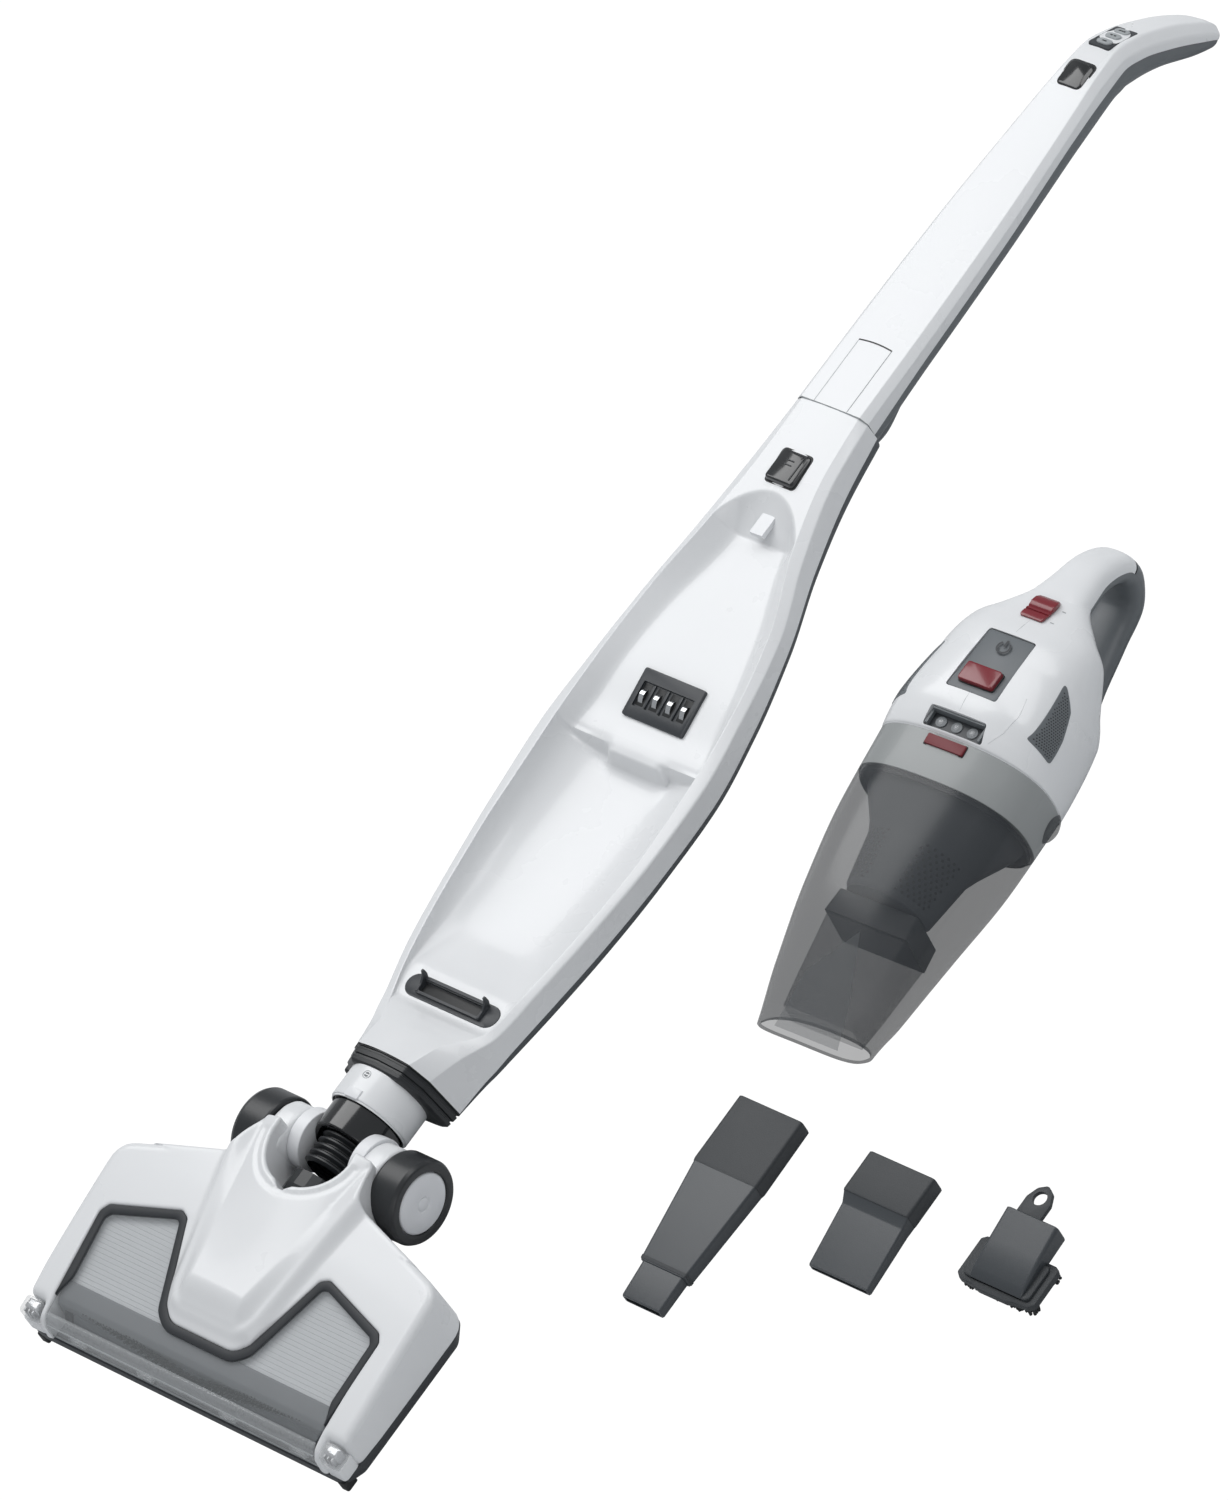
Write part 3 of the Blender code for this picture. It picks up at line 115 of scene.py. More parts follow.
NOZZLE_DARK = material("nozzle_matt", (0.026, 0.030, 0.034), 0.5, grain=0.35, grain_scale=1900, wear=0.06)
NOZZLE_SATIN = material("nozzle_satin", (0.046, 0.052, 0.058), 0.33, grain=0.18, grain_scale=1900, wear=0.06)
BRISTLE = material("bristle_black", (0.012, 0.013, 0.014), 0.6, grain=0.3, wear=0.2)
STEEL = material("steel", (0.62, 0.63, 0.64), 0.25, grain=0.05, metal=1, wear=0.1)
SMOKE = material("smoked_bin", (0.045, 0.050, 0.056), 0.24, alpha=0.60, coat=0.05, wear=0.03, dust=0)
PANE = material("smoked_pane", (0.42, 0.44, 0.45), 0.07, alpha=0.26, coat=0.6, wear=0.03, dust=0.03)
CLEAR = material("clear_bumper", (0.62, 0.64, 0.65), 0.05, alpha=0.34, coat=0.8, wear=0.03, dust=0.02)
LENS = material("lamp_lens", (0.80, 0.81, 0.82), 0.04, alpha=0.30, coat=1, wear=0.03, dust=0.02)
SILVER = material("lamp_reflector", (0.55, 0.56, 0.57), 0.22, metal=1, wear=0.1)
CLOTH = material("filter_cloth", (0.55, 0.55, 0.53), 0.9, grain=0.6, grain_scale=1200)


# ---------------------------------------------------------------- mesh helpers

def shape(name, points, faces, body, mat, replaces=(), angle=35, local=None, bevel=0, weld=True):
    """A mesh from millimetre points, riding on a body. local is a 4x4 placing the points in the layout."""
    pts = np.asarray(points, float).reshape(-1, 3)
    if local is not None:
        pts = pts @ local[:3, :3].T + local[:3, 3]
    pts = (pts - CENTRE) * MM
    mesh = bpy.data.meshes.new(name)
    mesh.from_pydata(pts.tolist(), [], [tuple(int(i) for i in f) for f in faces])
    work = bmesh.new()
    work.from_mesh(mesh)
    if weld:
        bmesh.ops.remove_doubles(work, verts=work.verts, dist=1e-6)
    bmesh.ops.recalc_face_normals(work, faces=work.faces)
    work.to_mesh(mesh)
    work.free()
    mesh.shade_smooth()
    mesh.set_sharp_from_angle(angle=math.radians(angle))
    mesh.materials.append(mat)
    obj = bpy.data.objects.new(name, mesh)
    bpy.context.scene.collection.objects.link(obj)
    if bevel:
        edge = obj.modifiers.new("edge", "BEVEL")
        edge.width = bevel * MM
        edge.segments = 3
        edge.limit_method = "ANGLE"
        edge.angle_limit = math.radians(40)
        edge.harden_normals = True
    if body:
        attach(obj, body)
    if replaces:
        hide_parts(*replaces)
    return obj


def skin_faces(rows, cols, around=True, caps=(True, True), loop=False):
    """Faces of a grid of points; around joins the last column to the first, loop the last row to the first."""
    faces = []
    for i in range(rows if loop else rows - 1):
        j = (i + 1) % rows
        for k in range(cols if around else cols - 1):
            n = (k + 1) % cols
            faces.append((i * cols + k, i * cols + n, j * cols + n, j * cols + k))
    if around and not loop:
        if caps[0]:
            faces.append(tuple(range(cols)))
        if caps[1]:
            faces.append(tuple((rows - 1) * cols + k for k in reversed(range(cols))))
    return faces


def skin(name, rings, body, mat, around=True, caps=(True, True), loop=False, **more):
    rings = np.asarray(rings, float)
    return shape(name, rings, skin_faces(len(rings), len(rings[0]), around, caps, loop), body, mat, **more)


def smooth(table, at):
    """Monotone cubic through the rows of a table whose first column is the position."""
    table = np.asarray(table, float)
    at = np.atleast_1d(np.asarray(at, float))
    x, y = table[:, 0], table[:, 1:]
    h = np.diff(x)[:, None]
    d = np.diff(y, axis=0) / h
    m = np.zeros_like(y)
    m[0], m[-1] = d[0], d[-1]
    if len(x) > 2:
        w1, w2 = 2 * h[1:] + h[:-1], h[1:] + 2 * h[:-1]
        same = d[:-1] * d[1:] > 0
        safe0 = np.where(same, d[:-1], 1)
        safe1 = np.where(same, d[1:], 1)
        m[1:-1] = np.where(same, (w1 + w2) / (w1 / safe0 + w2 / safe1), 0)
    i = np.clip(np.searchsorted(x, at) - 1, 0, len(x) - 2)
    t = ((at - x[i]) / h[i, 0])[:, None]
    a, b = y[i], y[i + 1]
    return ((1 + 2 * t) * (1 - t) ** 2 * a + t * (1 - t) ** 2 * h[i] * m[i]
            + t * t * (3 - 2 * t) * b + t * t * (t - 1) * h[i] * m[i + 1])


def step(value, low, high):
    t = np.clip((value - low) / (high - low), 0, 1)
    return t * t * (3 - 2 * t)


def fillet(points, radii, count=5):
    """Rounds the inner corners of an open line in the plane; each corner becomes count + 1 points."""
    pts = [np.asarray(p, float) for p in points]
    out = [pts[0]]
    for i in range(1, len(pts) - 1):
        a, b, c = pts[i - 1], pts[i], pts[i + 1]
        u, v = a - b, c - b
        lu, lv = np.linalg.norm(u), np.linalg.norm(v)
        u, v = u / max(lu, 1e-9), v / max(lv, 1e-9)
        cosine = float(np.clip(u @ v, -0.9999, 0.9999))
        half = math.acos(cosine) / 2
        reach = min(radii[i - 1] / math.tan(half), 0.49 * lu, 0.49 * lv)
        start, end = b + u * reach, b + v * reach
        for k in range(count + 1):
            t = k / count
            out.append((1 - t) ** 2 * start + 2 * t * (1 - t) * b + t * t * end)
    out.append(pts[-1])
    return np.array(out)


def closed_fillet(points, radius, count=5):
    """Rounds every corner of a closed outline in the plane."""
    pts = [np.asarray(p, float) for p in points]
    mids = [(pts[i] + pts[(i + 1) % len(pts)]) / 2 for i in range(len(pts))]
    out = []
    for i in range(len(pts)):
        line = [mids[i - 1], pts[i], mids[i]]
        out.extend(fillet(line, [radius], count)[1:-1])
    return np.array(out)


def box(x0, x1, y0, y1, corner):
    """A rectangle's outline with rounded corners."""
    return closed_fillet([(x0, y0), (x1, y0), (x1, y1), (x0, y1)], corner)


def ring_at(axis, value, outline):
    """Stands an outline at a value of the named axis; its columns are the other two axes in their order."""
    return np.insert(np.asarray(outline, float), "XYZ".index(axis), value, axis=1)


def both_halves(half):
    """A half profile from the middle outwards, joined to its mirror image."""
    return np.vstack([half[::-1] * [-1, 1], half[1:]])


def oval(half, low, high, count, power):
    """A squared oval between two heights; a power of 2 makes it an ellipse."""
    a = 2 * np.pi * (np.arange(count) + 0.5) / count
    c, s = np.cos(a), np.sin(a)
    mid, tall = (low + high) / 2, (high - low) / 2
    return np.column_stack([half * np.sign(c) * np.abs(c) ** (2 / power),
                            mid + tall * np.sign(s) * np.abs(s) ** (2 / power)])


def half_oval(half, depth, rise=0, power=0.8):
    """The lower half of a squared oval below a given height."""
    a = np.pi * np.arange(25) / 24
    c, s = np.cos(a), np.sin(a)
    return np.column_stack([half * np.sign(c) * np.abs(c) ** power, rise - depth * np.abs(s) ** power])


def tilted(row, section):
    """Stands a section (x, height) on a bend. The row starts with the bend's Y, Z and tilt."""
    tilt = math.radians(row[2])
    up = np.array([0, -math.sin(tilt), math.cos(tilt)])
    return [0, row[0], row[1]] + np.outer(section[:, 0], [1, 0, 0]) + np.outer(section[:, 1], up)


def turning(name, axis, centre, profile, body, mat, count=64, caps=(True, True), **more):
    """A turned piece: the profile lists (distance along the axis, radius)."""
    rings = []
    order = "XYZ".index(axis)
    others = [k for k in range(3) if k != order]
    a = 2 * np.pi * np.arange(count) / count
    for along, radius in profile:
        ring = np.tile(np.asarray(centre, float), (count, 1))
        ring[:, order] += along
        ring[:, others[0]] += radius * np.cos(a)
        ring[:, others[1]] += radius * np.sin(a)
        rings.append(ring)
    return skin(name, rings, body, mat, caps=caps, **more)


def round_profile(profile, radius, count=4):
    return fillet(profile, [radius] * (len(profile) - 2), count)


def plate(name, outline, low, high, body, mat, edge=1, **more):
    """A flat piece rounded at its upper edge; low and high may be functions of x and y."""
    outline = np.asarray(outline, float)
    middle = outline.mean(axis=0)
    rings = []
    level = lambda f, p: f(p[:, 0], p[:, 1]) if callable(f) else np.full(len(p), float(f))
    for inset, down in ((0, None), (0, 1), (0.3, 0.3), (1, 0)):
        toward = middle - outline
        size = np.linalg.norm(toward, axis=1)[:, None]
        p = outline + toward / size * edge * inset
        z = level(low, p) if down is None else level(high, p) - edge * down
        rings.append(np.column_stack([p, z]))
    return skin(name, rings, body, mat, **more)


def slab(name, x0, x1, y0, y1, low, high, body, mat, corner=2, edge=1, **more):
    x0, x1 = sorted((x0, x1))
    return plate(name, box(x0, x1, y0, y1, corner), low, high, body, mat, edge, **more)


def carve(obj, *cutters, angle=35):
    for cutter in cutters:
        cutting = obj.modifiers.new("cut", "BOOLEAN")
        cutting.operation = "DIFFERENCE"
        cutting.solver = "EXACT"
        cutting.object = cutter
    bpy.context.view_layer.update()
    graph = bpy.context.evaluated_depsgraph_get()
    mesh = bpy.data.meshes.new_from_object(obj.evaluated_get(graph))
    obj.modifiers.clear()
    obj.data = mesh
    for cutter in cutters:
        bpy.data.objects.remove(cutter)
    obj.data.shade_smooth()
    obj.data.set_sharp_from_angle(angle=math.radians(angle))


def prism(outline, z0, z1, **more):
    """An upright cutter."""
    return skin("cutter", [ring_at("Z", z, outline) for z in (z0, z1)], None, CHARCOAL, **more)


def line_distance(px, py, line):
    """Distance from points to an open line in the plane."""
    best = np.full(px.shape, 1e9)
    for (ax, ay), (bx, by) in zip(line[:-1], line[1:]):
        dx, dy = bx - ax, by - ay
        t = np.clip(((px - ax) * dx + (py - ay) * dy) / max(dx * dx + dy * dy, 1e-12), 0, 1)
        best = np.minimum(best, np.hypot(px - ax - t * dx, py - ay - t * dy))
    return best


def distance(px, py, outline):
    """Signed distance from points to a closed outline in the plane, negative inside."""
    closed = np.vstack([outline[-1:], outline])
    inside = np.zeros(px.shape, bool)
    for (ax, ay), (bx, by) in zip(closed[:-1], closed[1:]):
        across = (bx - ax) * (py - ay) / (by - ay if by != ay else 1e-12) + ax
        inside ^= ((ay > py) != (by > py)) & (px < across)
    best = line_distance(px, py, closed)
    return np.where(inside, -best, best)


def fill(rim, *inner):
    """Fills a closed outline through inner points; the last faces are a skirt over two more rows of its rim."""
    n = len(rim)
    edges = [(k, (k + 1) % n) for k in range(n)]
    flat = [Vector(p) for p in np.vstack([rim, *inner]).tolist()]
    verts, _, faces, *_ = delaunay_2d_cdt(flat, edges, [], 1, 1e-5)
    count = len(verts)
    skirt = [(count + k, count + m, count + n + m, count + n + k) for k, m in edges]
    return np.array([tuple(v) for v in verts]), [tuple(f) for f in faces] + skirt


def tuft(points, faces, ends, sides, u, v):
    """Adds a bristle tuft. Its ends are a centre and radius each; u and v span its section."""
    start = len(points)
    for centre, wide in ends:
        for n in range(sides):
            b = 2 * math.pi * n / sides
            points.append(centre + u * math.cos(b) * wide + v * math.sin(b) * wide)
    for n in range(sides):
        m = (n + 1) % sides
        faces.append((start + n, start + m, start + sides + m, start + sides + n))
    faces.append(tuple(start + sides + n for n in range(sides)))


def mirrored(outline):
    return list(outline) + [(-x, y) for x, y in reversed(outline)]


# ---------------------------------------------------------------- stick

# Y, half width and height at the parting line, at the shoulder and at the top edge, height of the middle, rear.
STICK = (
    (222, 38, 15, 30, 44, 20, 56, 59, 8),
    (245, 43, 19, 36, 40, 25, 47, 50, 6),
    (252, 45, 20, 39, 38.5, 30, 43, 45, 5.6),
    (266, 48, 22, 44, 36, 38, 38, 38.5, 5),
    (300, 54, 24, 51, 38.5, 45.5, 40, 40, 4.5),
    (350, 60.5, 25, 58, 39.5, 52.5, 41, 41, 5),
    (400, 65, 27, 63, 41, 56.5, 42.5, 42.5, 8),
    (450, 67, 30, 65, 44, 57, 46, 46, 11),
    (500, 63, 36, 60.5, 48.5, 54.5, 51, 51, 17),
    (550, 56, 45, 53.5, 54, 47.5, 58, 58, 27),
    (600, 43, 53, 40, 65, 33, 69, 70, 36),
    (650, 33, 59, 30.5, 73, 24, 76, 77, 41.5),
    (688.6, 29, 63, 27.5, 75, 22, 79, 80, 45),
)
# The hollow's floor: Y, height, squareness of the section, half width of the flat part of the floor.
FLOOR = (
    (222, 40, 6, 30),
    (258, 39, 6, 30),
    (266, 34.4, 6, 30),
    (285, 33.8, 6, 32),
    (300, 29.5, 4.2, 33),
    (325, 22.5, 2.7, 34),
    (350, 19.5, 2.3, 36),
    (400, 18, 2.3, 40),
    (448, 19.5, 2.3, 44),
    (456, 21.5, 2.3, 50),
    (460.5, 33.5, 3, 50),
    (480, 36.8, 3, 47),
    (510, 43, 3, 43),
    (550, 48.5, 3, 35),
    (590, 53.5, 3, 23),
    (604, 55.5, 3, 20),
    (700, 57, 3, 18),
)
# Upper tube and handle along their bend: Y and Z of the parting line, tilt, half width, height above, chamfer
# inset, chamfer drop, corner radius, depth below.
UPPER = (
    (689.2, 65, 0, 27.5, 15, 4.7, 4.6, 1.2, 16),
    (750, 68, 0, 27, 12, 4.7, 4.6, 1.2, 16.5),
    (830, 69, 0, 25, 11, 4.5, 4.5, 1.2, 17),
    (900, 69.8, 0, 21, 10.2, 4.2, 4.4, 1.4, 18),
    (925, 69.2, 0, 19.3, 11, 4.2, 4.6, 1.6, 18),
    (952, 67.5, 0, 17.5, 12.7, 4.5, 5.5, 2.5, 17),
    (966, 66.5, -12, 16.8, 12.5, 5, 6, 3, 19),
    (982, 59, -33, 16.2, 12.5, 5.5, 6.5, 4, 18),
    (1002, 43.5, -43, 15.6, 12.5, 6, 7, 4.5, 14.5),
    (1022, 25, -47, 15, 11.5, 6, 6.5, 4.5, 12.5),
    (1037, 8.8, -54, 12.2, 8.8, 5, 5, 3.5, 8.2),
    (1040.6, 4, -57, 9, 6.2, 3.5, 3.5, 2.5, 5.4),
    (1041.8, 2.4, -60, 6, 3.8, 2.2, 2.2, 1.5, 3.2),
)


# The hollow's Y range, and the ramp of the step across it.
HOLLOW_START, HOLLOW_END = 253, 603
STEP_START, STEP_END = 455, 463


def cradle_height(x, y, edge, top, middle):
    """Height of the white front surface between its two top edges."""
    floor, square, flat = smooth(FLOOR, y)[0]
    if y > 440:
        ahead = smooth(FLOOR, y + 4)[0][0]
        centre = 1 - step(np.abs(x), 20, 22.5)
        floor = floor + (ahead - floor) * centre * (1 if y < 470 else 0)
    crown = middle - (middle - top) * (x / edge) ** 2
    reach = edge - 0.6
    u = np.clip(np.abs(x) / reach, 0, 1)
    bowl = (1 - u ** square) ** (1 / square)
    wall = (1 - u) / max(1 - flat / reach, 0.08)
    tray = wall - np.log1p(np.exp((wall - 1) * 9)) / 9
    mix = step(y, STEP_START, STEP_END)
    depth = bowl * (1 - mix) + np.clip(tray, 0, 1) * mix
    hollow = (top - 0.2) - (top - 0.2 - floor) * depth
    end = 628 - 15 * (x / 26) ** 2
    fade = np.clip((y - HOLLOW_END) / np.maximum(end - HOLLOW_END, 1), 0, 1)
    share = step(y, HOLLOW_START, HOLLOW_START + 14) * (1 - fade)
    return crown * (1 - share) + hollow * share


def cradle_ring(y):
    foot, parting, side, shoulder, edge, top, middle, _ = smooth(STICK, y)[0]
    x = (edge - 0.6) * np.sin(np.linspace(0, np.pi / 2, 30))
    z = cradle_height(x, y, edge, top, middle)
    rim = fillet([(x[-1], z[-1]), (edge, top), (side, shoulder), (foot, parting)], [0.9, 2], 5)
    half = np.vstack([np.column_stack([x, z]), rim[1:]])
    return ring_at("Y", y, both_halves(half))


def upper_half(row):
    _, _, _, half, above, inset, drop, radius, _ = row
    line = [(0, above + 0.3), (half - inset, above - 0.2), (half, above - drop), (half, 0.1)]
    return fillet(line, [radius, radius], 6)


def seam(name, line, width, mat):
    """A thin dark line along points that lie on a surface facing up."""
    line = np.asarray(line, float)
    run = np.gradient(line, axis=0)
    side = np.cross(run, [0, 0, 1])
    side /= np.linalg.norm(side, axis=1)[:, None]
    return skin(name, [line - side * width / 2, line + side * width / 2], "stick", mat, around=False)


def make_stick():
    ys = np.unique(np.concatenate([
        np.arange(222, 290, 2), np.arange(290, 452, 4), np.arange(452, 466, 0.75),
        np.arange(466, 598, 4), np.arange(598, 632, 1), np.arange(632, 688.6, 4), [688.6]]))
    skin("stick_front", [cradle_ring(y) for y in ys], "stick", WHITE, around=False,
         replaces=("cradle_shell",), angle=38)
    rear = []
    for y in ys:
        foot, parting, *_, low = smooth(STICK, y)[0]
        rear.append(ring_at("Y", y, half_oval(foot - 0.5, parting - 0.4 - low, parting - 0.4)))
    skin("stick_back", rear, "stick", REAR, around=False, replaces=("cradle_back",))

    ys = np.concatenate([np.arange(689.2, 920, 5), np.arange(920, 1030, 1.5), np.linspace(1030, 1041.8, 22)])
    rows = [np.concatenate([[y], smooth(UPPER, y)[0]]) for y in ys]
    top = [tilted(row, both_halves(upper_half(row))) for row in rows]
    under = [tilted(row, half_oval(row[3] - 0.5, row[8] - 0.2, -0.2)) for row in rows]
    for name, rings, mat, nodes in (("tube_and_handle", top, WHITE, ("tube_front", "handle_shell")),
                                    ("tube_and_handle_back", under, GREY, ("tube_rear", "handle_grip"))):
        cols = len(rings[0])
        faces = skin_faces(len(rings), cols, around=False)
        faces.append(tuple((len(rings) - 1) * cols + k for k in range(cols)))
        shape(name, rings, faces, "stick", mat, replaces=nodes)

    hook = ((687.5, 8, 45, 55), (689, 12, 40.5, 56), (693, 14.5, 37.2, 56), (704, 15.5, 35.6, 56.5))
    hook += ((720, 14, 38, 57), (736, 11, 43.5, 57), (747, 8, 49.5, 57), (753, 6, 52.5, 57))
    rings = []
    for y in np.concatenate([np.linspace(687.5, 694, 10), np.linspace(696, 753, 24)]):
        half, low, high = smooth(hook, y)[0]
        rings.append(ring_at("Y", y, oval(half, low, high, 40, 2.3)))
    skin("tube_hook", rings, "stick", GREY)
    bump = round_profile(((0, 0.1), (0, 4.2), (10.4, 4.2), (10.4, 0.1)), 1.8, 5)
    turning("grip_bump", "X", (-5.2, 972.8, 49.2), bump, "stick", GREY, 40)

    edge = 12.7
    for side, name in SIDES:
        line = [(side * edge, y, upper_top(y, edge) + 0.07) for y in np.linspace(689.4, 736.2, 40)]
        # Painted light and shade: the seam on the lit left side is a lighter grey than the seam on the shaded
        # right side.
        seam(f"tongue_seam_{name}", line, 0.42, KEY_GREY if side < 0 else GREY)
    line = [(x, 736.3 + 0.9 * (1 - (x / edge) ** 2), upper_top(736.4, x) + 0.08)
            for x in np.linspace(-12.9, 12.9, 30)]
    seam("tongue_seam_end", line, 0.95, MARK)
    line = np.array(top[0])[2:-2] + [0, -0.2, 0.02]
    skin("joint_seam", [line, line + [0, -0.5, -0.3]], "stick", KEY_GREY, around=False)


def upper_top(y, x):
    row = np.concatenate([[y], smooth(UPPER, y)[0]])
    line = upper_half(row)
    return row[1] + np.interp(abs(x), line[:, 0], line[:, 1])


def stadium(half_length, half_width, count=12):
    points = []
    for side in (1, -1):
        for k in range(count + 1):
            a = -math.pi / 2 + math.pi * k / count
            points.append((side * (half_length - half_width + half_width * math.cos(a)),
                           side * half_width * math.sin(a)))
    return np.array(points)


def make_dock():
    outline = stadium(36, 7.5) + [0, 275.7]
    base = plate("dock_base", outline, 33.4, 35, "stick", CHARCOAL, 0.7, replaces=("dock_plate",))
    carve(base, prism(box(-23, 23, 272.6, 278.8, 1.5), 30, 40))
    frame_rim = slab("dock_rim", -25.4, 25.4, 270.6, 281.6, 34.6, 36.9, "stick", CHARCOAL, 1.4, 0.6)
    carve(frame_rim, prism(box(-23.4, 23.4, 272.2, 279.4, 1), 30, 42))
    ear = fillet([(270.8, 34.8), (270.8, 37.2), (276.5, 37.6), (280.4, 40.4), (281.3, 43.2), (283, 43.4),
                  (283.4, 39), (282, 34.8)], [0.8, 3, 2, 0.6, 0.8, 3], 4)
    for side, name in SIDES:
        rings = [ring_at("X", side * x, ear) for x in (23.6, 25.2)]
        skin(f"dock_ear_{name}", rings, "stick", CHARCOAL, bevel=0.3)
    slab("dock_well", -23.2, 23.2, 271.8, 279.6, 33.6, 34.8, "stick", MARK)
    wall = ((-25.2, 279.9), (25.2, 279.9), (25.2, 281.4), (-25.2, 281.4))
    skin("dock_back_rim", [ring_at("Z", z, wall) for z in (34.8, 37.8)], "stick", CHARCOAL, bevel=0.4)


def make_contacts():
    tilt = np.array(Matrix.Translation((0, 493.5, 40.9)) @ Matrix.Rotation(math.radians(12.4), 4, "X"))
    body = slab("contact_cover", -23.7, 23.7, -15.5, 15.5, -2.4, 0.9, "stick", CHARCOAL, 1.6, 0.4, local=tilt,
                replaces=("contact_plate",))
    well = box(-19.8, 19.8, -8.6, 7.6, 0.8)
    carve(body, prism(well, -0.5, 4, local=tilt))
    for k in range(4):
        x = -16.2 + 10.8 * k
        slab(f"contact_pit_{k + 1}", x - 3.1, x + 3.1, -7.4, 6.6, -0.48, -0.42, "stick", MARK, 0.6, 0.05,
             local=tilt)
        arch = [(-5.4, -0.4), (-3.4, 1), (-0.8, 2), (1.6, 1.4), (3.4, -0.4)]
        rings = []
        for y, z in fillet(arch, [1.5, 1.5, 1.5], 4):
            rings.append([(x - 1.7, y, z - 0.25), (x + 1.7, y, z - 0.25), (x + 1.7, y, z), (x - 1.7, y, z)])
        nodes = ("contact_springs",) if k == 0 else ()
        skin(f"contact_spring_{k + 1}", rings, "stick", STEEL, local=tilt, bevel=0.12, replaces=nodes)
        rib = [(x + 5, -8), (x + 5.8, -8), (x + 5.8, 7), (x + 5, 7)]
        if k < 3:
            plate(f"contact_rib_{k + 1}", rib, -0.5, 0.6, "stick", CHARCOAL, 0.15, local=tilt)


def make_controls():
    slab("release_key", -11, 11, 633.3, 655.3, 74, lambda x, y: 79.3 - 0.006 * x ** 2, "release", BLACK,
         3, 1.6, replaces=("release_button",))
    slab("release_ridge", 6.6, 7.4, 636, 652.5, 78.8, 79.35, "release", BLACK_SATIN, 0.3, 0.15)
    for k, y in enumerate((645, 648.2)):
        slab(f"release_mark_{k + 1}", -3.2, 2.2, y, y + 0.6, 79, 79.36, "release", CHARCOAL, 0.25, 0.1)
    slab("release_bezel", -12, 12, 632.3, 656.3, 74, lambda x, y: cradle_top(x, y) + 0.12, "stick", MARK,
         3.4, 0.1)
    dome = lambda x, y: 82.4 - 0.008 * x ** 2 - 0.006 * (y - 946.5) ** 2
    slab("power_key", -9.6, 9.6, 936.6, 956.4, 77, dome, "power", BLACK, 4.2, 2, replaces=("power_button",))
    slab("power_bezel", -10.2, 10.2, 936, 957, 77, 80.35, "stick", MARK, 4.6, 0.1)
    tilt = np.array(Matrix.Translation((0, 982, 73.4)) @ Matrix.Rotation(math.radians(-29.5), 4, "X"))
    slab("handle_panel", -8.4, 8.4, -13.6, 13.6, -3, lambda x, y: 0.75 - 0.0052 * y ** 2, "stick", CHARCOAL,
         2, 0.5, local=tilt, replaces=("control_panel",))
    for k in range(3):
        y = -7.8 + 8 * k
        lift = 1.15 - 0.0052 * y ** 2
        plate(f"handle_key_{k + 1}", stadium(5.4, 2.9) + [0, y], -1.5, lift, f"key_{k + 1}", KEY_GREY, 0.5,
              local=tilt, replaces=(f"mode_key_{k + 1}",))
        marks = (((-1.6, 1.6),), ((-2.2, -0.4), (0.4, 2.2)), ((-2.6, -1), (-0.8, 0.8), (1, 2.6)))[k]
        for n, (a, b) in enumerate(marks):
            mark = [(a, y - 0.7), (b, y - 0.7), (b, y + 0.5), (a, y + 0.5)]
            plate(f"handle_key_{k + 1}_mark_{n + 1}", mark, lift - 0.1, lift + 0.06, f"key_{k + 1}", MARK, 0.05,
                  local=tilt)


def cradle_top(x, y):
    out = []
    for a, b in zip(np.atleast_1d(x), np.atleast_1d(y)):
        _, _, _, _, edge, top, middle, _ = smooth(STICK, b)[0]
        out.append(middle - (middle - top) * (a / edge) ** 2)
    return np.array(out)


# Height of the neck's axis.
NECK_Z = 31


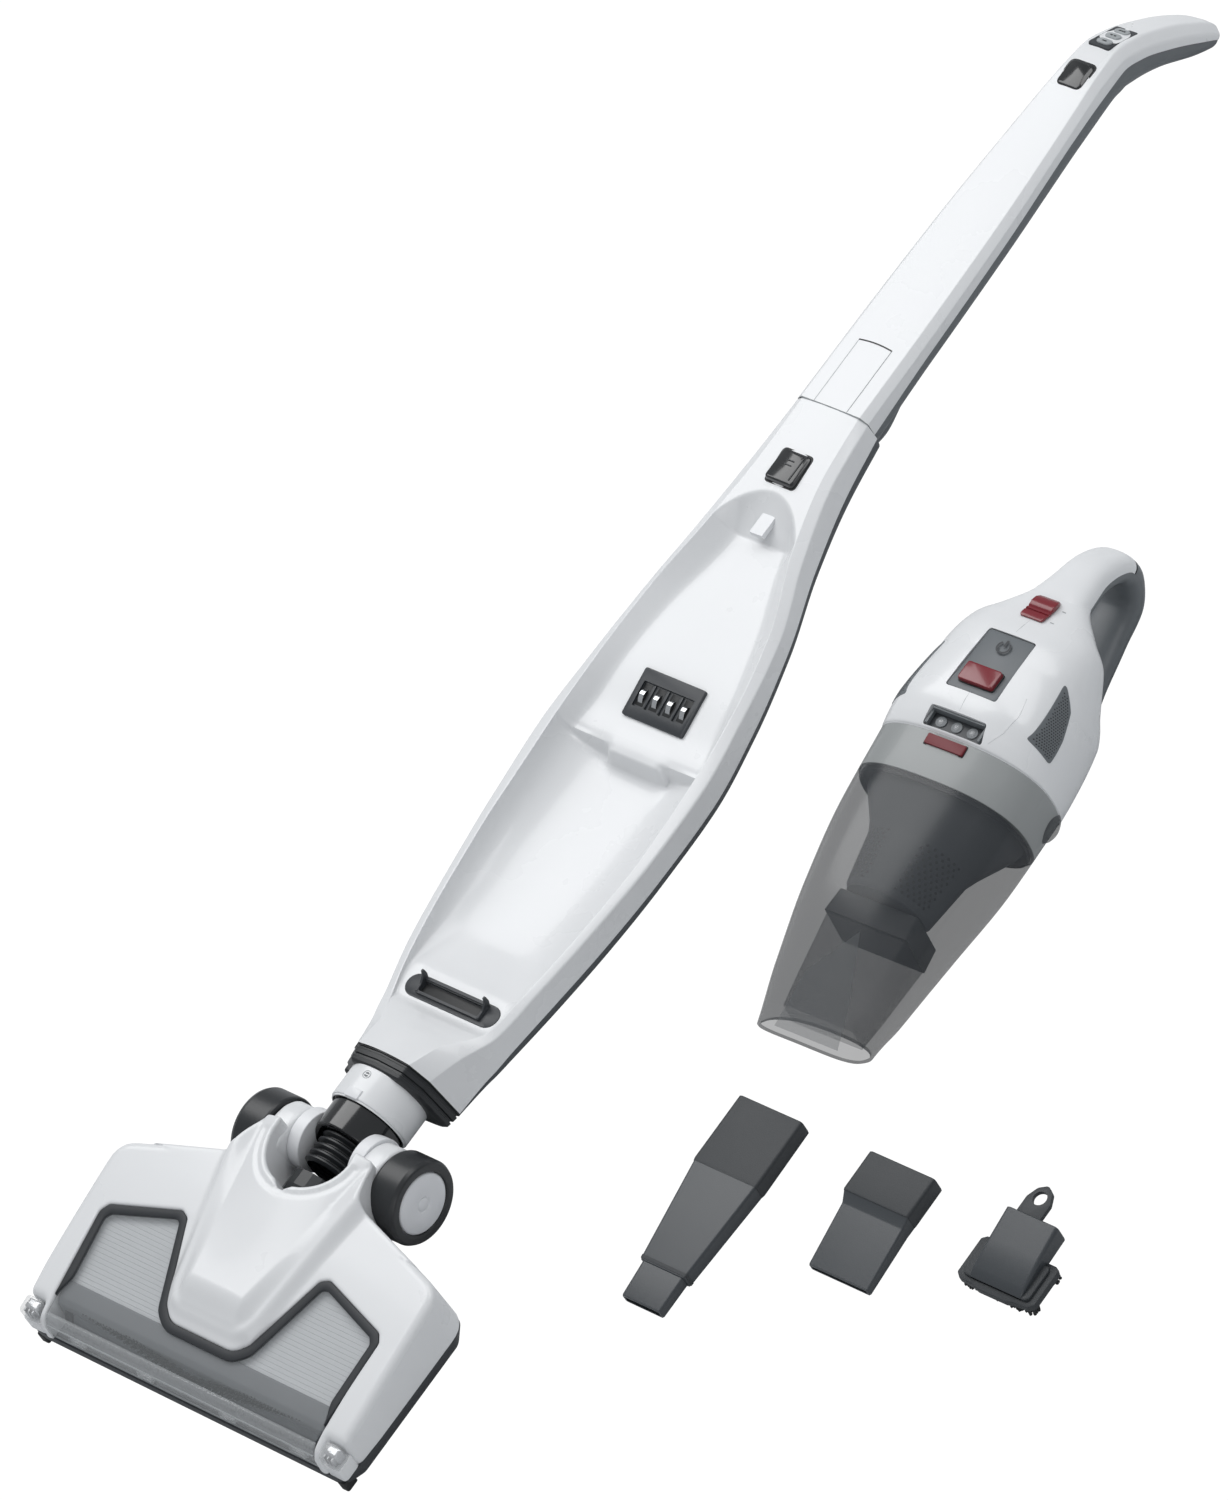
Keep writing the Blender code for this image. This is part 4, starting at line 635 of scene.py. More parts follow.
def make_neck():
    foot, parting, side, shoulder, edge, top, middle, low = smooth(STICK, 222)[0]
    half = fillet([(0, middle), (edge, top), (side, shoulder), (foot, parting + 1)], [3, 4], 6)
    ring = np.vstack([both_halves(half), half_oval(foot, parting - 1 - low, parting - 1)])
    rings = []
    for y, k in ((210.6, 0.80), (211.2, 0.90), (212.4, 0.945), (214.6, 0.955), (215, 0.925), (216.2, 0.925),
                 (216.7, 0.965), (219.5, 0.975), (220, 0.95), (221, 0.95), (221.4, 0.985), (222.6, 0.985)):
        rings.append(ring_at("Y", y, (ring - [0, NECK_Z]) * k + [0, NECK_Z]))
    skin("neck_seal", rings, "stick", BLACK_SATIN, replaces=("base_seal",), angle=30)
    slab("seal_clip", -37, -31, 211, 217.5, 26, 32, "stick", BLACK_SATIN, 1.5, 1.5)

    collar = round_profile(((0, 23.6), (0, 26), (21.4, 26), (21.4, 20)), 1, 5)
    turning("collar", "Y", (0, 190, NECK_Z), collar, "stick", WHITE, 96, caps=OPEN, replaces=("neck_collar",))
    ring = round_profile(((0, 24.4), (0, 25.2), (1, 25.2), (1, 23.4)), 0.2, 3)
    turning("collar_lip", "Y", (0, 189, NECK_Z), ring, "stick", WHITE, 96, caps=OPEN)
    well = ((0, 2.7), (1.5, 2.7), (1.5, 2.3), (0.9, 2.1))
    turning("screw_well", "Z", (0, 206, 55.6), well, "stick", KEY_GREY, 32)
    head = turning("screw_head", "Z", (0, 206, 55.4), ((0, 1.9), (1.3, 1.9), (1.7, 1.5)), "stick", GREY, 32,
                   replaces=("collar_screw",))
    carve(head, prism([(-2, 205.6), (2, 205.6), (2, 206.4), (-2, 206.4)], 56.6, 59))
    slab("collar_clip", -5, 5, 189.4, 196, 52, lambda x, y: 32 + np.sqrt(26 ** 2 - x ** 2), "stick",
         WHITE_IN, 0.8, 0.5)

    tube = round_profile(((0, 17.6), (0, 23), (30, 23), (30, 17.6)), 0.9, 4)
    turning("knuckle_tube", "Y", (0, 170.5, NECK_Z), tube, "neck", BLACK, 96, caps=OPEN,
            replaces=("neck_tube",))
    # The tube ends in a slanting mouth over the hose, between two bearing discs.
    a = 2 * np.pi * np.arange(80) / 80
    rings = []
    for size, share in ((22.4, 0.62), (22.4, 0.3), (22.4, 0.03), (22.1, 0.008), (21.4, 0), (20.2, 0),
                        (19.6, 0.01), (19.3, 0.04), (19, 0.62)):
        z = NECK_Z + size * np.sin(a)
        start = 150 + (z - 8.6) * 0.55
        rings.append(np.column_stack([size * np.cos(a), start + (200 - start) * share, z]))
    skin("knuckle_mouth", rings, "neck", BLACK, caps=OPEN, angle=50)
    disc = round_profile(((0, 0.1), (0, 18.6), (8.8, 18.6), (8.8, 0.1)), 0.8, 4)
    for name, x in (("left", -28), ("right", 19.2)):
        turning(f"knuckle_disc_{name}", "X", (x, 166, NECK_Z), disc, "neck", WHITE_IN, 64)
    profile = []
    for k in range(9):
        for dy, radius in ((0, 14.2), (0.7, 15.4), (1.5, 16.9), (2.5, 16.9), (3.3, 15.4), (4, 14.2)):
            profile.append((4.4 * k + dy, radius))
    profile.append((41.6, 13))
    turning("corrugated_hose", "Y", (0, 149.5, NECK_Z), profile, "neck", BLACK_SATIN, 64, caps=OPEN,
            replaces=("neck_hose",))


# ---------------------------------------------------------------- floor head

OPENING = (
    (-108, -2.2), (-108, 12), (-111.4, 69.2), (-107.6, 74.8), (-58.8, 89.5), (-52.8, 86.4), (-33, 37),
    (-25, 29.4),
)
OPENING_ROUND = (1, 5, 5, 5, 5, 10, 14)
GASKET_IN = (
    (-104, -2.2), (-101, 13), (-105, 66), (-102.4, 69.4), (-60.6, 82.6), (-57.4, 81.4), (-38, 30.6),
    (-27, 22.5),
)
GASKET_ROUND = (1, 3, 3, 3, 3, 12, 17)
SHELL_EDGE = (
    (-112.8, -2.4), (-112.8, 9.8), (-126.6, 9.8), (-127.6, 30), (-128, 111), (-66, 129.4),
    (-50.5, 134), (-41.5, 160), (-29.5, 160.5),
)
SHELL_EDGE_ROUND = (2.5, 3, 5, 40, 17, 18, 12, 3, 2)
NOTCH_Y, NOTCH_RADIUS = 155, 30
# The raised tongue between the windows: where it starts, its half width there and how it widens.
TONGUE_FRONT, TONGUE_HALF, TONGUE_LENGTH, TONGUE_SPREAD = 55, 20.5, 102, 21.5
HEAD_TOP = (
    (-3, 25), (-1, 28), (2, 31), (9, 33.6), (30, 38), (75, 44.8), (97, 47.6), (112, 49.2),
    (134, 51.2), (165, 52.5),
)


def window_level(y):
    return 31.5 + 0.155 * y


def framed(half, radii, count=7):
    """The whole of an open line from its left half, with the corners rounded."""
    return fillet(mirrored(half), radii + radii[::-1], count)


OPENING_LINE = framed(OPENING, OPENING_ROUND)


def rear_line():
    """Edge of the shell from the left lamp round the back to the right lamp, with the notch for the neck."""
    left = fillet([(-108, -2.4)] + list(SHELL_EDGE) + [(-29, 150)], SHELL_EDGE_ROUND, 6)[1:-1]
    notch = []
    for k in range(31):
        a = math.radians(188 + 164 * k / 30)
        notch.append((NOTCH_RADIUS * math.cos(a), NOTCH_Y + NOTCH_RADIUS * math.sin(a)))
    nick = [(-7, 125.8), (-2, 121.6), (2, 121.6), (7, 125.8)]
    notch = [p for p in notch if p[0] < -7.5] + nick + [p for p in notch if p[0] > 7.5]
    right = [(-x, y) for x, y in left[::-1]]
    return np.array(list(map(tuple, left)) + notch + right)


def resample(line, spacing, closed=True):
    line = np.asarray(line, float)
    if closed:
        line = np.vstack([line, line[:1]])
    size = np.linalg.norm(np.diff(line, axis=0), axis=1)
    keep = []
    for i, length in enumerate(size):
        n = max(1, int(math.ceil(length / spacing)))
        for k in range(n):
            keep.append(line[i] + (line[i + 1] - line[i]) * k / n)
    if not closed:
        keep.append(line[-1])
    out = [keep[0]]
    for p in keep[1:]:
        if np.linalg.norm(p - out[-1]) > 0.25:
            out.append(p)
    return np.array(out)


def field(name, outline, height, spacing, depth, body, mat, rows=(0.35, 0.9, 1.7, 2.8), flare=0, **more):
    """A surface z = height(x, y) inside a closed outline, with a wall down from its edge to depth(x, y)."""
    rim = resample(outline, spacing)
    x0, y0 = rim.min(axis=0)
    x1, y1 = rim.max(axis=0)
    gx, gy = np.meshgrid(np.arange(x0, x1, spacing), np.arange(y0, y1, spacing))
    gx[1::2] += spacing / 2
    gx, gy = gx.ravel(), gy.ravel()
    inside = distance(gx, gy, rim)
    keep = inside < -(rows[-1] + spacing * 0.55)
    points = [rim]
    run = np.roll(rim, -1, axis=0) - np.roll(rim, 1, axis=0)
    normal = np.column_stack([-run[:, 1], run[:, 0]])
    normal /= np.linalg.norm(normal, axis=1)[:, None]
    probe = distance(rim[:, 0] + normal[:, 0] * 0.2, rim[:, 1] + normal[:, 1] * 0.2, rim)
    if (probe < 0).mean() < 0.5:
        normal = -normal
    for inset in rows:
        ring = rim + normal * inset
        good = np.abs(distance(ring[:, 0], ring[:, 1], rim) + inset) < 0.12
        points.append(ring[good])
    points.append(np.column_stack([gx[keep], gy[keep]]))
    flat, faces = fill(*points)
    top = np.column_stack([flat, height(flat[:, 0], flat[:, 1])])
    upper = np.column_stack([rim, height(rim[:, 0], rim[:, 1])])
    base_at = depth(rim[:, 0], rim[:, 1]) if callable(depth) else np.full(len(rim), float(depth))
    low = np.column_stack([rim - normal * flare, base_at])
    points = np.vstack([top, upper, low])
    return shape(name, points, faces, body, mat, **more)


def head_height(x, y):
    top = smooth(HEAD_TOP, y)[:, 0] - 1.4 * (x / 128) ** 4
    near = line_distance(x, y, OPENING_LINE)
    level = window_level(y) + 0.5
    fields = step(y, 12, 38)
    dished = np.minimum(level + 0.75, top)
    swage = step(near, 9.5, 14)
    outer = top * (1 - fields) + fields * (dished + (top - dished) * swage)
    py = np.where(y < TONGUE_FRONT, TONGUE_FRONT - (TONGUE_FRONT - y) * 0.62, y)
    half = TONGUE_HALF + (py - TONGUE_FRONT) * (TONGUE_SPREAD / TONGUE_LENGTH)
    slope = TONGUE_LENGTH / math.hypot(TONGUE_LENGTH, TONGUE_SPREAD)
    side = (np.abs(x) - half) * slope
    front = TONGUE_FRONT - py
    out = np.where((side > 0) & (front > 0), np.hypot(side, front), np.maximum(side, front))
    rise = 53 + (y - TONGUE_FRONT) * 0.04
    crown = 0.4 + 6.2 * step(y, 50, 160)
    rise = rise + crown * (1 - np.clip(np.abs(x) / np.maximum(half, 1), 0, 1) ** 2)
    t = np.clip(out / 9.6, 0, 1)
    ramp = 0.55 * t + 0.45 * t * t * (3 - 2 * t)
    border = np.maximum(outer, level + 1.2 + 5 * step(y, 29, 42) * (np.abs(x) < 60))
    foot = np.where((np.abs(x) < 62) & (y > 25), border, outer)
    blend_in = 1 - step(out, 11, 20)
    ground = outer + (foot - outer) * blend_in
    z = np.where(y > 25, rise * (1 - ramp) + ground * ramp, outer)
    z = np.where(out <= 0, rise, z)
    # A shallow groove round the notch, and rounded edges.
    ring = np.hypot(x, y - NOTCH_Y)
    groove = step(ring, 33, 34.2) * (1 - step(ring, 36.2, 37.6)) * (y < 152)
    z = z - 0.9 * groove
    for edge, radius in ((line_distance(x, y, rear_line()), np.where(y > 118, 2.4, 5)),
                         (near, 1.6 + 1.2 * (1 - step(y, 14, 40)))):
        lip = np.clip(1 - edge / radius, 0, 1)
        z = z - radius * (1 - np.sqrt(np.clip(1 - lip ** 2, 0, 1))) * 0.9
    return z


def make_head():
    outline = np.vstack([rear_line(), OPENING_LINE[::-1]])
    field("head_cover", outline, head_height, 1.35, 12.2, "head", WHITE, replaces=("head_shell",), flare=0.9,
          angle=48)
    plan = [(-122.5, -2.9), (-128.6, 10), (-128.8, 101), (-120.6, 113.2), (-53, 134.8)]
    ring = closed_fillet(mirrored(plan), 9, 6)
    middle = np.array([0, 60])
    rings = []
    for inset, z in ((5, 3), (1.2, 4.2), (0.2, 6), (0, 11.4), (0.5, 12.2), (3.5, 12.3)):
        toward = middle - ring
        toward /= np.linalg.norm(toward, axis=1)[:, None]
        rings.append(np.column_stack([ring + toward * inset, np.full(len(ring), z)]))
    base = skin("head_tray", rings, "head", CHARCOAL, replaces=("head_base",))
    well = [(-104, 3), (104, 3), (104, 35), (-104, 35)]
    tray = [(-121, 2.6), (-123.5, 20), (-123.5, 96), (-113, 108), (-52, 128)]
    carve(base, prism(mirrored(tray), 5.6, 20), prism(well, 0, 9))
    for side, name in SIDES:
        slab(f"foot_{name}", side * 117.2, side * 123.6, -3.3, 5.6, 0.5, 8, "head", MARK, 1.6, 0.8)
        slab(f"lamp_shelf_{name}", side * 112.8, side * 127.2, -2.4, 10.6, 12.2, 22.3, "head", WHITE, 3, 0.6)
        slab(f"lamp_lens_{name}", side * 113.2, side * 126.6, -2.2, 9.4, 22.6, lambda x, y: 31.6 + 0.12 * y,
             "head", LENS, 3.4, 2.6, replaces=(f"headlight_{name}",))
        slab(f"lamp_back_{name}", side * 115, side * 125, 1.6, 8.4, 22.7, 30.6, "head", SILVER, 2.4, 2)
        for k in range(3):
            x = side * (117 + 3 * k)
            slab(f"lamp_rib_{name}_{k + 1}", x - 0.5, x + 0.5, -0.6, 1.8, 22.8, 29.8, "head", SILVER, 0.3, 0.4)
        # The arm that carries the wheel and the neck.
        stations = ((116, 14, 46.5), (124, 12.5, 49.6), (140, 11.5, 50.8), (160, 11.5, 51),
                    (169, 12.5, 49.4), (176, 15.5, 45.6), (180.4, 20, 40.5), (182.2, 26, 34))
        rings = []
        for y in np.concatenate([np.linspace(116, 165, 14), np.linspace(168, 182.2, 16)]):
            low, high = smooth(stations, y)[0]
            tight = step(y, 172, 183)
            near, far = 28.2 + 0.8 * tight, 43.6 - 1.2 * tight
            rings.append(ring_at("Y", y, box(near, far, low, high, 5) * [side, 1]))
        skin(f"arm_{name}", rings, "head", WHITE)


def make_windows():
    parts = []
    count = 260

    def even(line):
        size = np.r_[0, np.cumsum(np.linalg.norm(np.diff(line, axis=0), axis=1))]
        at = np.linspace(0, size[-1], count)
        return np.column_stack([np.interp(at, size, line[:, k]) for k in (0, 1)])

    outer = even(OPENING_LINE)
    # Each outer point pairs with the nearest point of the inner line.
    fine = resample(framed(GASKET_IN, GASKET_ROUND), 0.25, closed=False)
    at, pairs = 0, []
    for p in outer:
        window = fine[at:at + 90]
        at = at + int(np.argmin(np.linalg.norm(window - p, axis=1)))
        pairs.append(fine[at])
    pairs = np.array(pairs)
    keep = (outer[:, 1] > 15)
    outer, pairs = outer[keep], pairs[keep]
    shrink = step(outer[:, 1], 14, 30)[:, None]
    outside = outer + (pairs - outer) * 0.04
    inside = outer + (pairs - outer) * (0.12 + 0.70 * shrink)
    for share, lift in ((0, -2.6), (0, 0.35), (0.16, 0.75), (0.84, 0.55), (1, 0.15), (1, -1.8)):
        p = outside + (inside - outside) * share
        parts.append(np.column_stack([p, window_level(p[:, 1]) + lift]))
    skin("gasket_band", np.stack(parts, axis=1), "head", GASKET, replaces=("window_gasket",), angle=50)

    pane = [(-107, -1.2), (-107, 12), (-110, 68), (-106, 74), (-59.2, 88), (-54.2, 85.6), (-34.6, 36.8),
            (-26.2, 27)]
    pane = framed(pane, OPENING_ROUND, 4)
    profile = ((-1.4, 24), (0.4, 28.2), (3, 30.6), (8, 32.2), (20, 34.2), (50, 38.85), (100, 46.6))
    field("window_pane", pane, lambda x, y: smooth(profile, y)[:, 0] - 0.4, 3,
          lambda x, y: smooth(profile, y)[:, 0] - 1.4, "head", PANE, rows=(0.8,), replaces=("brush_window",))
    bar = fillet([(-1.9, 13.4), (-1.9, 21), (-0.9, 25.4), (1.4, 29.4), (3.4, 30.9)], [6, 4, 4], 5)
    inner = bar + [1.9, -0.9]
    ring = np.vstack([bar, inner[::-1]])
    rings = [ring_at("X", x, ring) for x in (-107.2, 107.2)]
    skin("front_bar", rings, "head", CLEAR, bevel=0.25)
    for k, x in enumerate((-85, -30, 36, 92)):
        slab(f"front_tab_{k + 1}", x - 6, x + 6, -2.2, 0.6, 17, 20.6, "head", CLEAR, 0.6, 0.5)
    # Painted highlight: two opaque light grey strips along the clear bar's edges stand in for its bright edges.
    for z, k in ((14, 1), (24.6, 2)):
        y = -2 if k == 1 else -1.3
        edge = [(-107, y, z), (107, y, z), (107, y - 0.3, z + 0.7), (-107, y - 0.3, z + 0.7)]
        lower = [(x, v + 0.9, w) for x, v, w in edge]
        skin(f"front_edge_highlight_{k}", [edge, lower], "head", KEY_GREY, bevel=0.15)

    # Ribbed plates under the windows, the smooth duct cover and the dark well round the brush roll.
    rows = []
    for k in range(23):
        y = 27 + 2.75 * k
        for dy, dz in ((0, 0), (2.45, 0), (2.55, 0.3), (2.72, 0.28)):
            rows.append((y + dy, window_level(y + dy) - 4.2 + dz))
    grid = [ring_at("X", x, rows) for x in (-108, -60, -30, 0, 30, 60, 108)]
    skin("ribbed_plate", grid, "head", PLATE, around=False, replaces=("baffle_plate",), angle=20)
    curve = fillet([(11.5, 21), (12.6, 28.6), (16, 31.2), (27, 33), (27.4, 28)], [3, 4, 0.8], 6)
    rings = [ring_at("X", x, curve) for x in (-107, 107)]
    skin("duct_cover", rings, "head", BAND, around=False)
    back = ((-0.2, 11.8), (4, 11.2), (10, 11), (14, 29))
    skin("brush_well", [ring_at("X", x, back) for x in (-107, 107)], "head", BAND, around=False)


def make_brush():
    y, z = 17, 17
    profile = round_profile(((0, 7), (7, 7), (7, 8.6), (205, 8.6), (205, 0.2)), 0.5, 3)
    turning("roll_core", "X", (-103, y, z), profile, "brush", GREY, 40, replaces=("brush_roll",))
    points, faces = [], []
    for row in range(4):
        for k in range(34):
            x = -97 + 5.9 * k
            a = math.radians(90 * row + 3.4 * abs(k - 16.5) + 33)
            out = np.array([0, math.sin(a), math.cos(a)])
            side = np.array([0, math.cos(a), -math.sin(a)])
            for m in range(7):
                turn = 2 * math.pi * m / 6
                lean = np.array([math.cos(turn), 0, 0]) * 1.3 + side * math.sin(turn) * 1.3
                if m == 6:
                    lean = lean * 0
                root = np.array([x, y, z]) + out * 7.8 + lean
                tip = np.array([x, y, z]) + out * 12.4 + lean * 1.9
                tuft(points, faces, ((root, 0.7), (tip, 0.8)), 4, np.array([1, 0, 0]), side)
    shape("roll_bristles", points, faces, "brush", BRISTLE, weld=False)


def make_wheels():
    y, z = 160, 26.3
    for side, name in SIDES:
        body = f"wheel_{name}"
        at = lambda profile: [(side * a, r) for a, r in profile]
        tread = round_profile(((0, 20), (0, 25.2), (1.8, 26), (18, 26), (20.8, 24.6), (20.8, 19.2), (17, 18.9)),
                              1.6, 5)
        turning(f"tread_{name}", "X", (side * 44.3, y, z), at(tread), body, TYRE, 96, caps=(True, False),
                replaces=(f"tyre_{name}",))
        disc = ((0, 18.9), (14.4, 18.9), (15.2, 18.1), (15.6, 17.2), (15.7, 5.2), (15.5, 4.8), (15.1, 4.5),
                (15.1, 4.1), (15.5, 3.8), (15.7, 3.4), (15.7, 0.1))
        turning(f"wheel_cap_{name}", "X", (side * 49.5, y, z), at(disc), body, HUB_WHITE, 96,
                replaces=(f"hub_{name}",), angle=50)


# ---------------------------------------------------------------- handheld unit

# Along the unit's axis: half width, bottom, top.
BODY = (
    (-0.6, 59.2, -43, 39.4), (8, 59, -44, 43.6), (22, 58, -45, 47.3), (49, 54.3, -43.5, 45.3),
    (56, 52.6, -38.5, 44.2), (62, 51, -29, 43.3), (72, 48, -19, 41.3), (84, 43.4, -8, 36.2),
    (96, 32, 2, 31), (110, 20, 8.5, 26.5), (116, 17, 9.5, 24.4),
)
BODY_END = 116
BIN = (
    (-190, 36.5, -31, -3), (-150, 42.5, -35, 13), (-103, 50, -38, 27), (-50, 57, -41, 34),
    (-1, 59, -42, 38.5),
)
BIN_END = -190
# The loop along its run: Y, Z, tilt, half width, half thickness.
LOOP = (
    (100, 18.8, -16, 23, 9.6), (110, 16.9, -18, 19.2, 9.7), (122, 13, -20, 16.5, 10.2),
    (134, 9.6, -25, 14.8, 10), (147, 2, -40, 14.2, 9.6), (155.4, -7.5, -66, 14, 9.1),
    (157.8, -18, -92, 14, 8.7), (154, -30, -118, 14.1, 8.4), (147, -37.4, -145, 14.4, 8),
    (134, -40, -170, 15.2, 7.5), (116, -40.3, -180, 18, 7.2), (95, -39.4, -182, 22, 7.4),
    (76, -38.4, -182.5, 27, 7.9), (60.4, -37.6, -183, 31, 8.4),
)
# The row of the loop's table at which its outside turns from white to grey.
LOOP_TURN = 5.3
# How square the unit's oval sections are.
UNIT_POWER = 2.5


def hand_ring(y, table, inset=0):
    half, low, high = smooth(table, y)[0]
    return ring_at("Y", y, oval(half - inset, low + inset, high - inset, 112, UNIT_POWER))


def crown_of(table):
    """The height of the unit's upper surface as a function of x and y."""
    def top(x, y):
        out = []
        for a, b in zip(np.atleast_1d(x), np.atleast_1d(y)):
            half, low, high = smooth(table, b)[0]
            mid, tall = (low + high) / 2, (high - low) / 2
            out.append(mid + tall * (1 - min(abs(a / half), 0.999) ** UNIT_POWER) ** (1 / UNIT_POWER))
        return np.array(out)
    return top


body_top, bin_top = crown_of(BODY), crown_of(BIN)


def on_body(points, lift):
    """Lays points (x, y) on the unit's upper surface."""
    p = np.array(points)
    return np.column_stack([p, body_top(p[:, 0], p[:, 1]) + lift])


def decal(name, outline, lift, mat):
    """One flat face just above or below the unit's surface."""
    return shape(name, on_body(outline, lift), [tuple(range(len(outline)))], "handheld", mat, local=RING)


def draped(name, line, width, lift, mat):
    """A thin strip lying on the body along a line of (x, y)."""
    line = resample(fillet(line, [12] * (len(line) - 2), 8), 1.5, closed=False)
    run = np.gradient(line, axis=0)
    side = np.column_stack([-run[:, 1], run[:, 0]])
    side /= np.linalg.norm(side, axis=1)[:, None]
    taper = np.minimum(1, np.minimum(np.arange(len(line)), np.arange(len(line))[::-1]) / 6 + 0.15)[:, None]
    rows = []
    for share, up in ((-0.5, -0.25), (-0.3, lift), (0.3, lift), (0.5, -0.25)):
        p = line + side * width * share * taper
        rows.append(on_body(p, up))
    return skin(name, rows, "handheld", mat, around=False, local=RING)


def make_handheld_body():
    ys = np.concatenate([[-0.6, -0.2, 0.6], np.linspace(2, BODY_END, 66)])
    rings = [hand_ring(y, BODY, inset=(0.9 if y < -0.4 else 0.25 if y < 0 else 0)) for y in ys]
    body = skin("unit_body", rings, "handheld", WHITE, local=RING,
                replaces=("body_shell_left", "body_shell_right"))
    carve(body, prism(closed_fillet([(-17.5, 25.4), (17.5, 25.4), (16.1, 70.4), (-16.1, 70.4)], 2), 34.6, 60,
                      local=RING),
          prism(closed_fillet([(-20.4, 0.8), (20.4, 0.8), (19, 12.2), (-19, 12.2)], 1.6), 35.8, 60, local=RING),
          angle=38)
    edge = [hand_ring(y, BODY, inset=i) for y, i in ((-1, 2.6), (-1.2, 1.4), (-1, 0.8), (-0.5, 0.5))]
    skin("unit_rim", edge, "handheld", WHITE_IN, local=RING, caps=OPEN)

    outline = closed_fillet([(-17, 25.9), (17, 25.9), (15.6, 69.9), (-15.6, 69.9)], 1.8)
    face = lambda x, y: body_top(x, y) - 0.45
    plate("unit_panel", outline, 35, face, "handheld", GREY, 0.4, local=RING, replaces=("hand_panel",))
    crown = lambda x, y: 49.5 - 0.085 * (y - 30.6)
    slab("unit_power_key", -11.8, 11.8, 30.6, 43.6, 42, crown, "hand_power", RED, 1.8, 1, local=RING,
         replaces=("hand_power_key",))
    slab("unit_key_gap", -12.3, 12.3, 30.1, 44.1, 40, lambda x, y: body_top(x, y) - 0.35, "handheld", MARK,
         2, 0.1, local=RING)
    # A generic power mark: an open ring of radius 4.6 with a bar in its gap.
    middle, gap = np.array([0, 60.5]), 76
    a = [math.radians(90 + gap / 2 + (360 - gap) * k / 32) for k in range(33)]
    ring = np.array([(4.6 * math.cos(v), middle[1] + 4.6 * math.sin(v)) for v in a])
    inner = (ring - middle) * 0.72 + middle
    rows = [on_body(p, -0.36) for p in (ring, inner)]
    skin("unit_panel_ring", rows, "handheld", CHARCOAL, around=False, local=RING)
    decal("unit_panel_bar", [(-0.7, 61), (0.7, 61), (0.7, 65.8), (-0.7, 65.8)], -0.34, CHARCOAL)

    # The slide switch rests on the body: two ridges in front, a raised thumb rest behind.
    rows = ((86.4, 0.2, 6.6), (86.8, 1.6, 7.4), (88.2, 2.4, 7.8), (91.4, 2.5, 8), (91.8, 1.8, 8),
            (92.6, 1.8, 8), (93, 2.6, 8), (94, 2.6, 8), (94.4, 1.9, 8), (95.2, 1.9, 8),
            (96, 2.8, 8), (99, 4, 8), (102.6, 3.7, 7.8), (104.8, 2.3, 7), (105.6, 0.9, 6),
            (105.8, 0.2, 5))
    rings = []
    for y, lift, half in rows:
        level = float(body_top(0, y)[0])
        low, z = level + 0.55, level + max(lift, 0.75)
        bend = min(0.8, (z - low) / 2.4)
        top = z - 0.004 * half ** 2
        corner = fillet([(-half, low), (-half, top), (half, top), (half, low)], [bend, bend], 5)
        rings.append(ring_at("Y", y, corner))
    skin("unit_switch", rings, "hand_switch", RED, local=RING, replaces=("hand_slide_switch",))
    for k, y in enumerate((89, 100)):
        mark = [(11, y), (13.4, y), (13.4, y + 0.7), (11, y + 0.7)]
        decal(f"unit_mark_{k + 1}", mark, 0.08, KEY_GREY)

    # Lamp recess with three small lamps.
    slab("lamp_tray", -19, 19, 1.5, 12, 35, 37.6, "handheld", CHARCOAL, 1.4, 0.3, local=RING,
         replaces=("hand_lamp",))
    for side, name in SIDES:
        slab(f"lamp_wall_{name}", side * 17.2, side * 18.8, 1.8, 11.6, 37, 40.6, "handheld", GREY, 0.5, 0.4,
             local=RING)
    slab("lamp_back_wall", -18, 18, 10.8, 12.2, 37, 43, "handheld", GREY, 0.5, 0.4, local=RING)
    for k, x in enumerate((-10.8, 0, 10.8)):
        for name, mat, profile in (("bulb", LENS, [(0, 2.1), (0.6, 2.1), (1.2, 1.8), (1.6, 1.2), (1.8, 0.1)]),
                                   ("cup", GREY, [(0, 3.4), (0.7, 3.4), (0.7, 2.6)])):
            turning(f"lamp_{name}_{k + 1}", "Z", (x, 6.2, 37.5), profile, "handheld", mat, 24, local=RING)

    # Side vents, the sliver on each side with a fine raised mesh; its holes are dark diamonds of painted shade.
    for side, name in SIDES:
        corners = [(58, 33), (15.4, 37.2), (11.8, 22.4), (28, 22.6), (45, 25.4)]
        outline = closed_fillet(corners, 1.8, 4)
        place_vent(name, outline, side)
        points, faces = [], []
        # Painted shade: flat dark diamonds stand where the mesh's holes are, with no opening behind them.
        for i in range(-18, 19):
            for j in range(-8, 9):
                y = 34 + 1.5 * i
                z = 29.5 + 1.3 * j + (0.65 if i % 2 else 0)
                if distance(np.array([y]), np.array([z]), outline)[0] > -1.3:
                    continue
                start = len(points)
                for dy, dz in ((-0.5, 0), (0, -0.45), (0.5, 0), (0, 0.45)):
                    points.append(side_point(y + dy, z + dz, side, 0.42))
                faces.append((start, start + 1, start + 2, start + 3))
        shape(f"side_vent_hole_shade_{name}", points, faces, "handheld", MARK, local=RING, weld=False)

    boss = ((1, 9, -49), (2.6, 12.6, -49.4), (26, 12.6, -49), (30, 9, -47))
    rings = [ring_at("Y", y, box(-half, half, low, -36, 3)) for y, half, low in boss]
    skin("unit_boss", rings, "handheld", WHITE, local=RING)
    lobe = ((-19, 2), (-15, 6), (-9, 8), (-3, 6), (0, 2.5))
    rings = []
    for y in np.linspace(-19, 0, 16):
        size = smooth(lobe, y)[0][0]
        a = 2 * np.pi * np.arange(24) / 24
        rings.append(np.column_stack([57 + 0.5 * size * np.cos(a), np.full(24, y), -12 + size * np.sin(a)]))
    skin("unit_hinge_lobe", rings, "bin", SMOKE, local=RING)

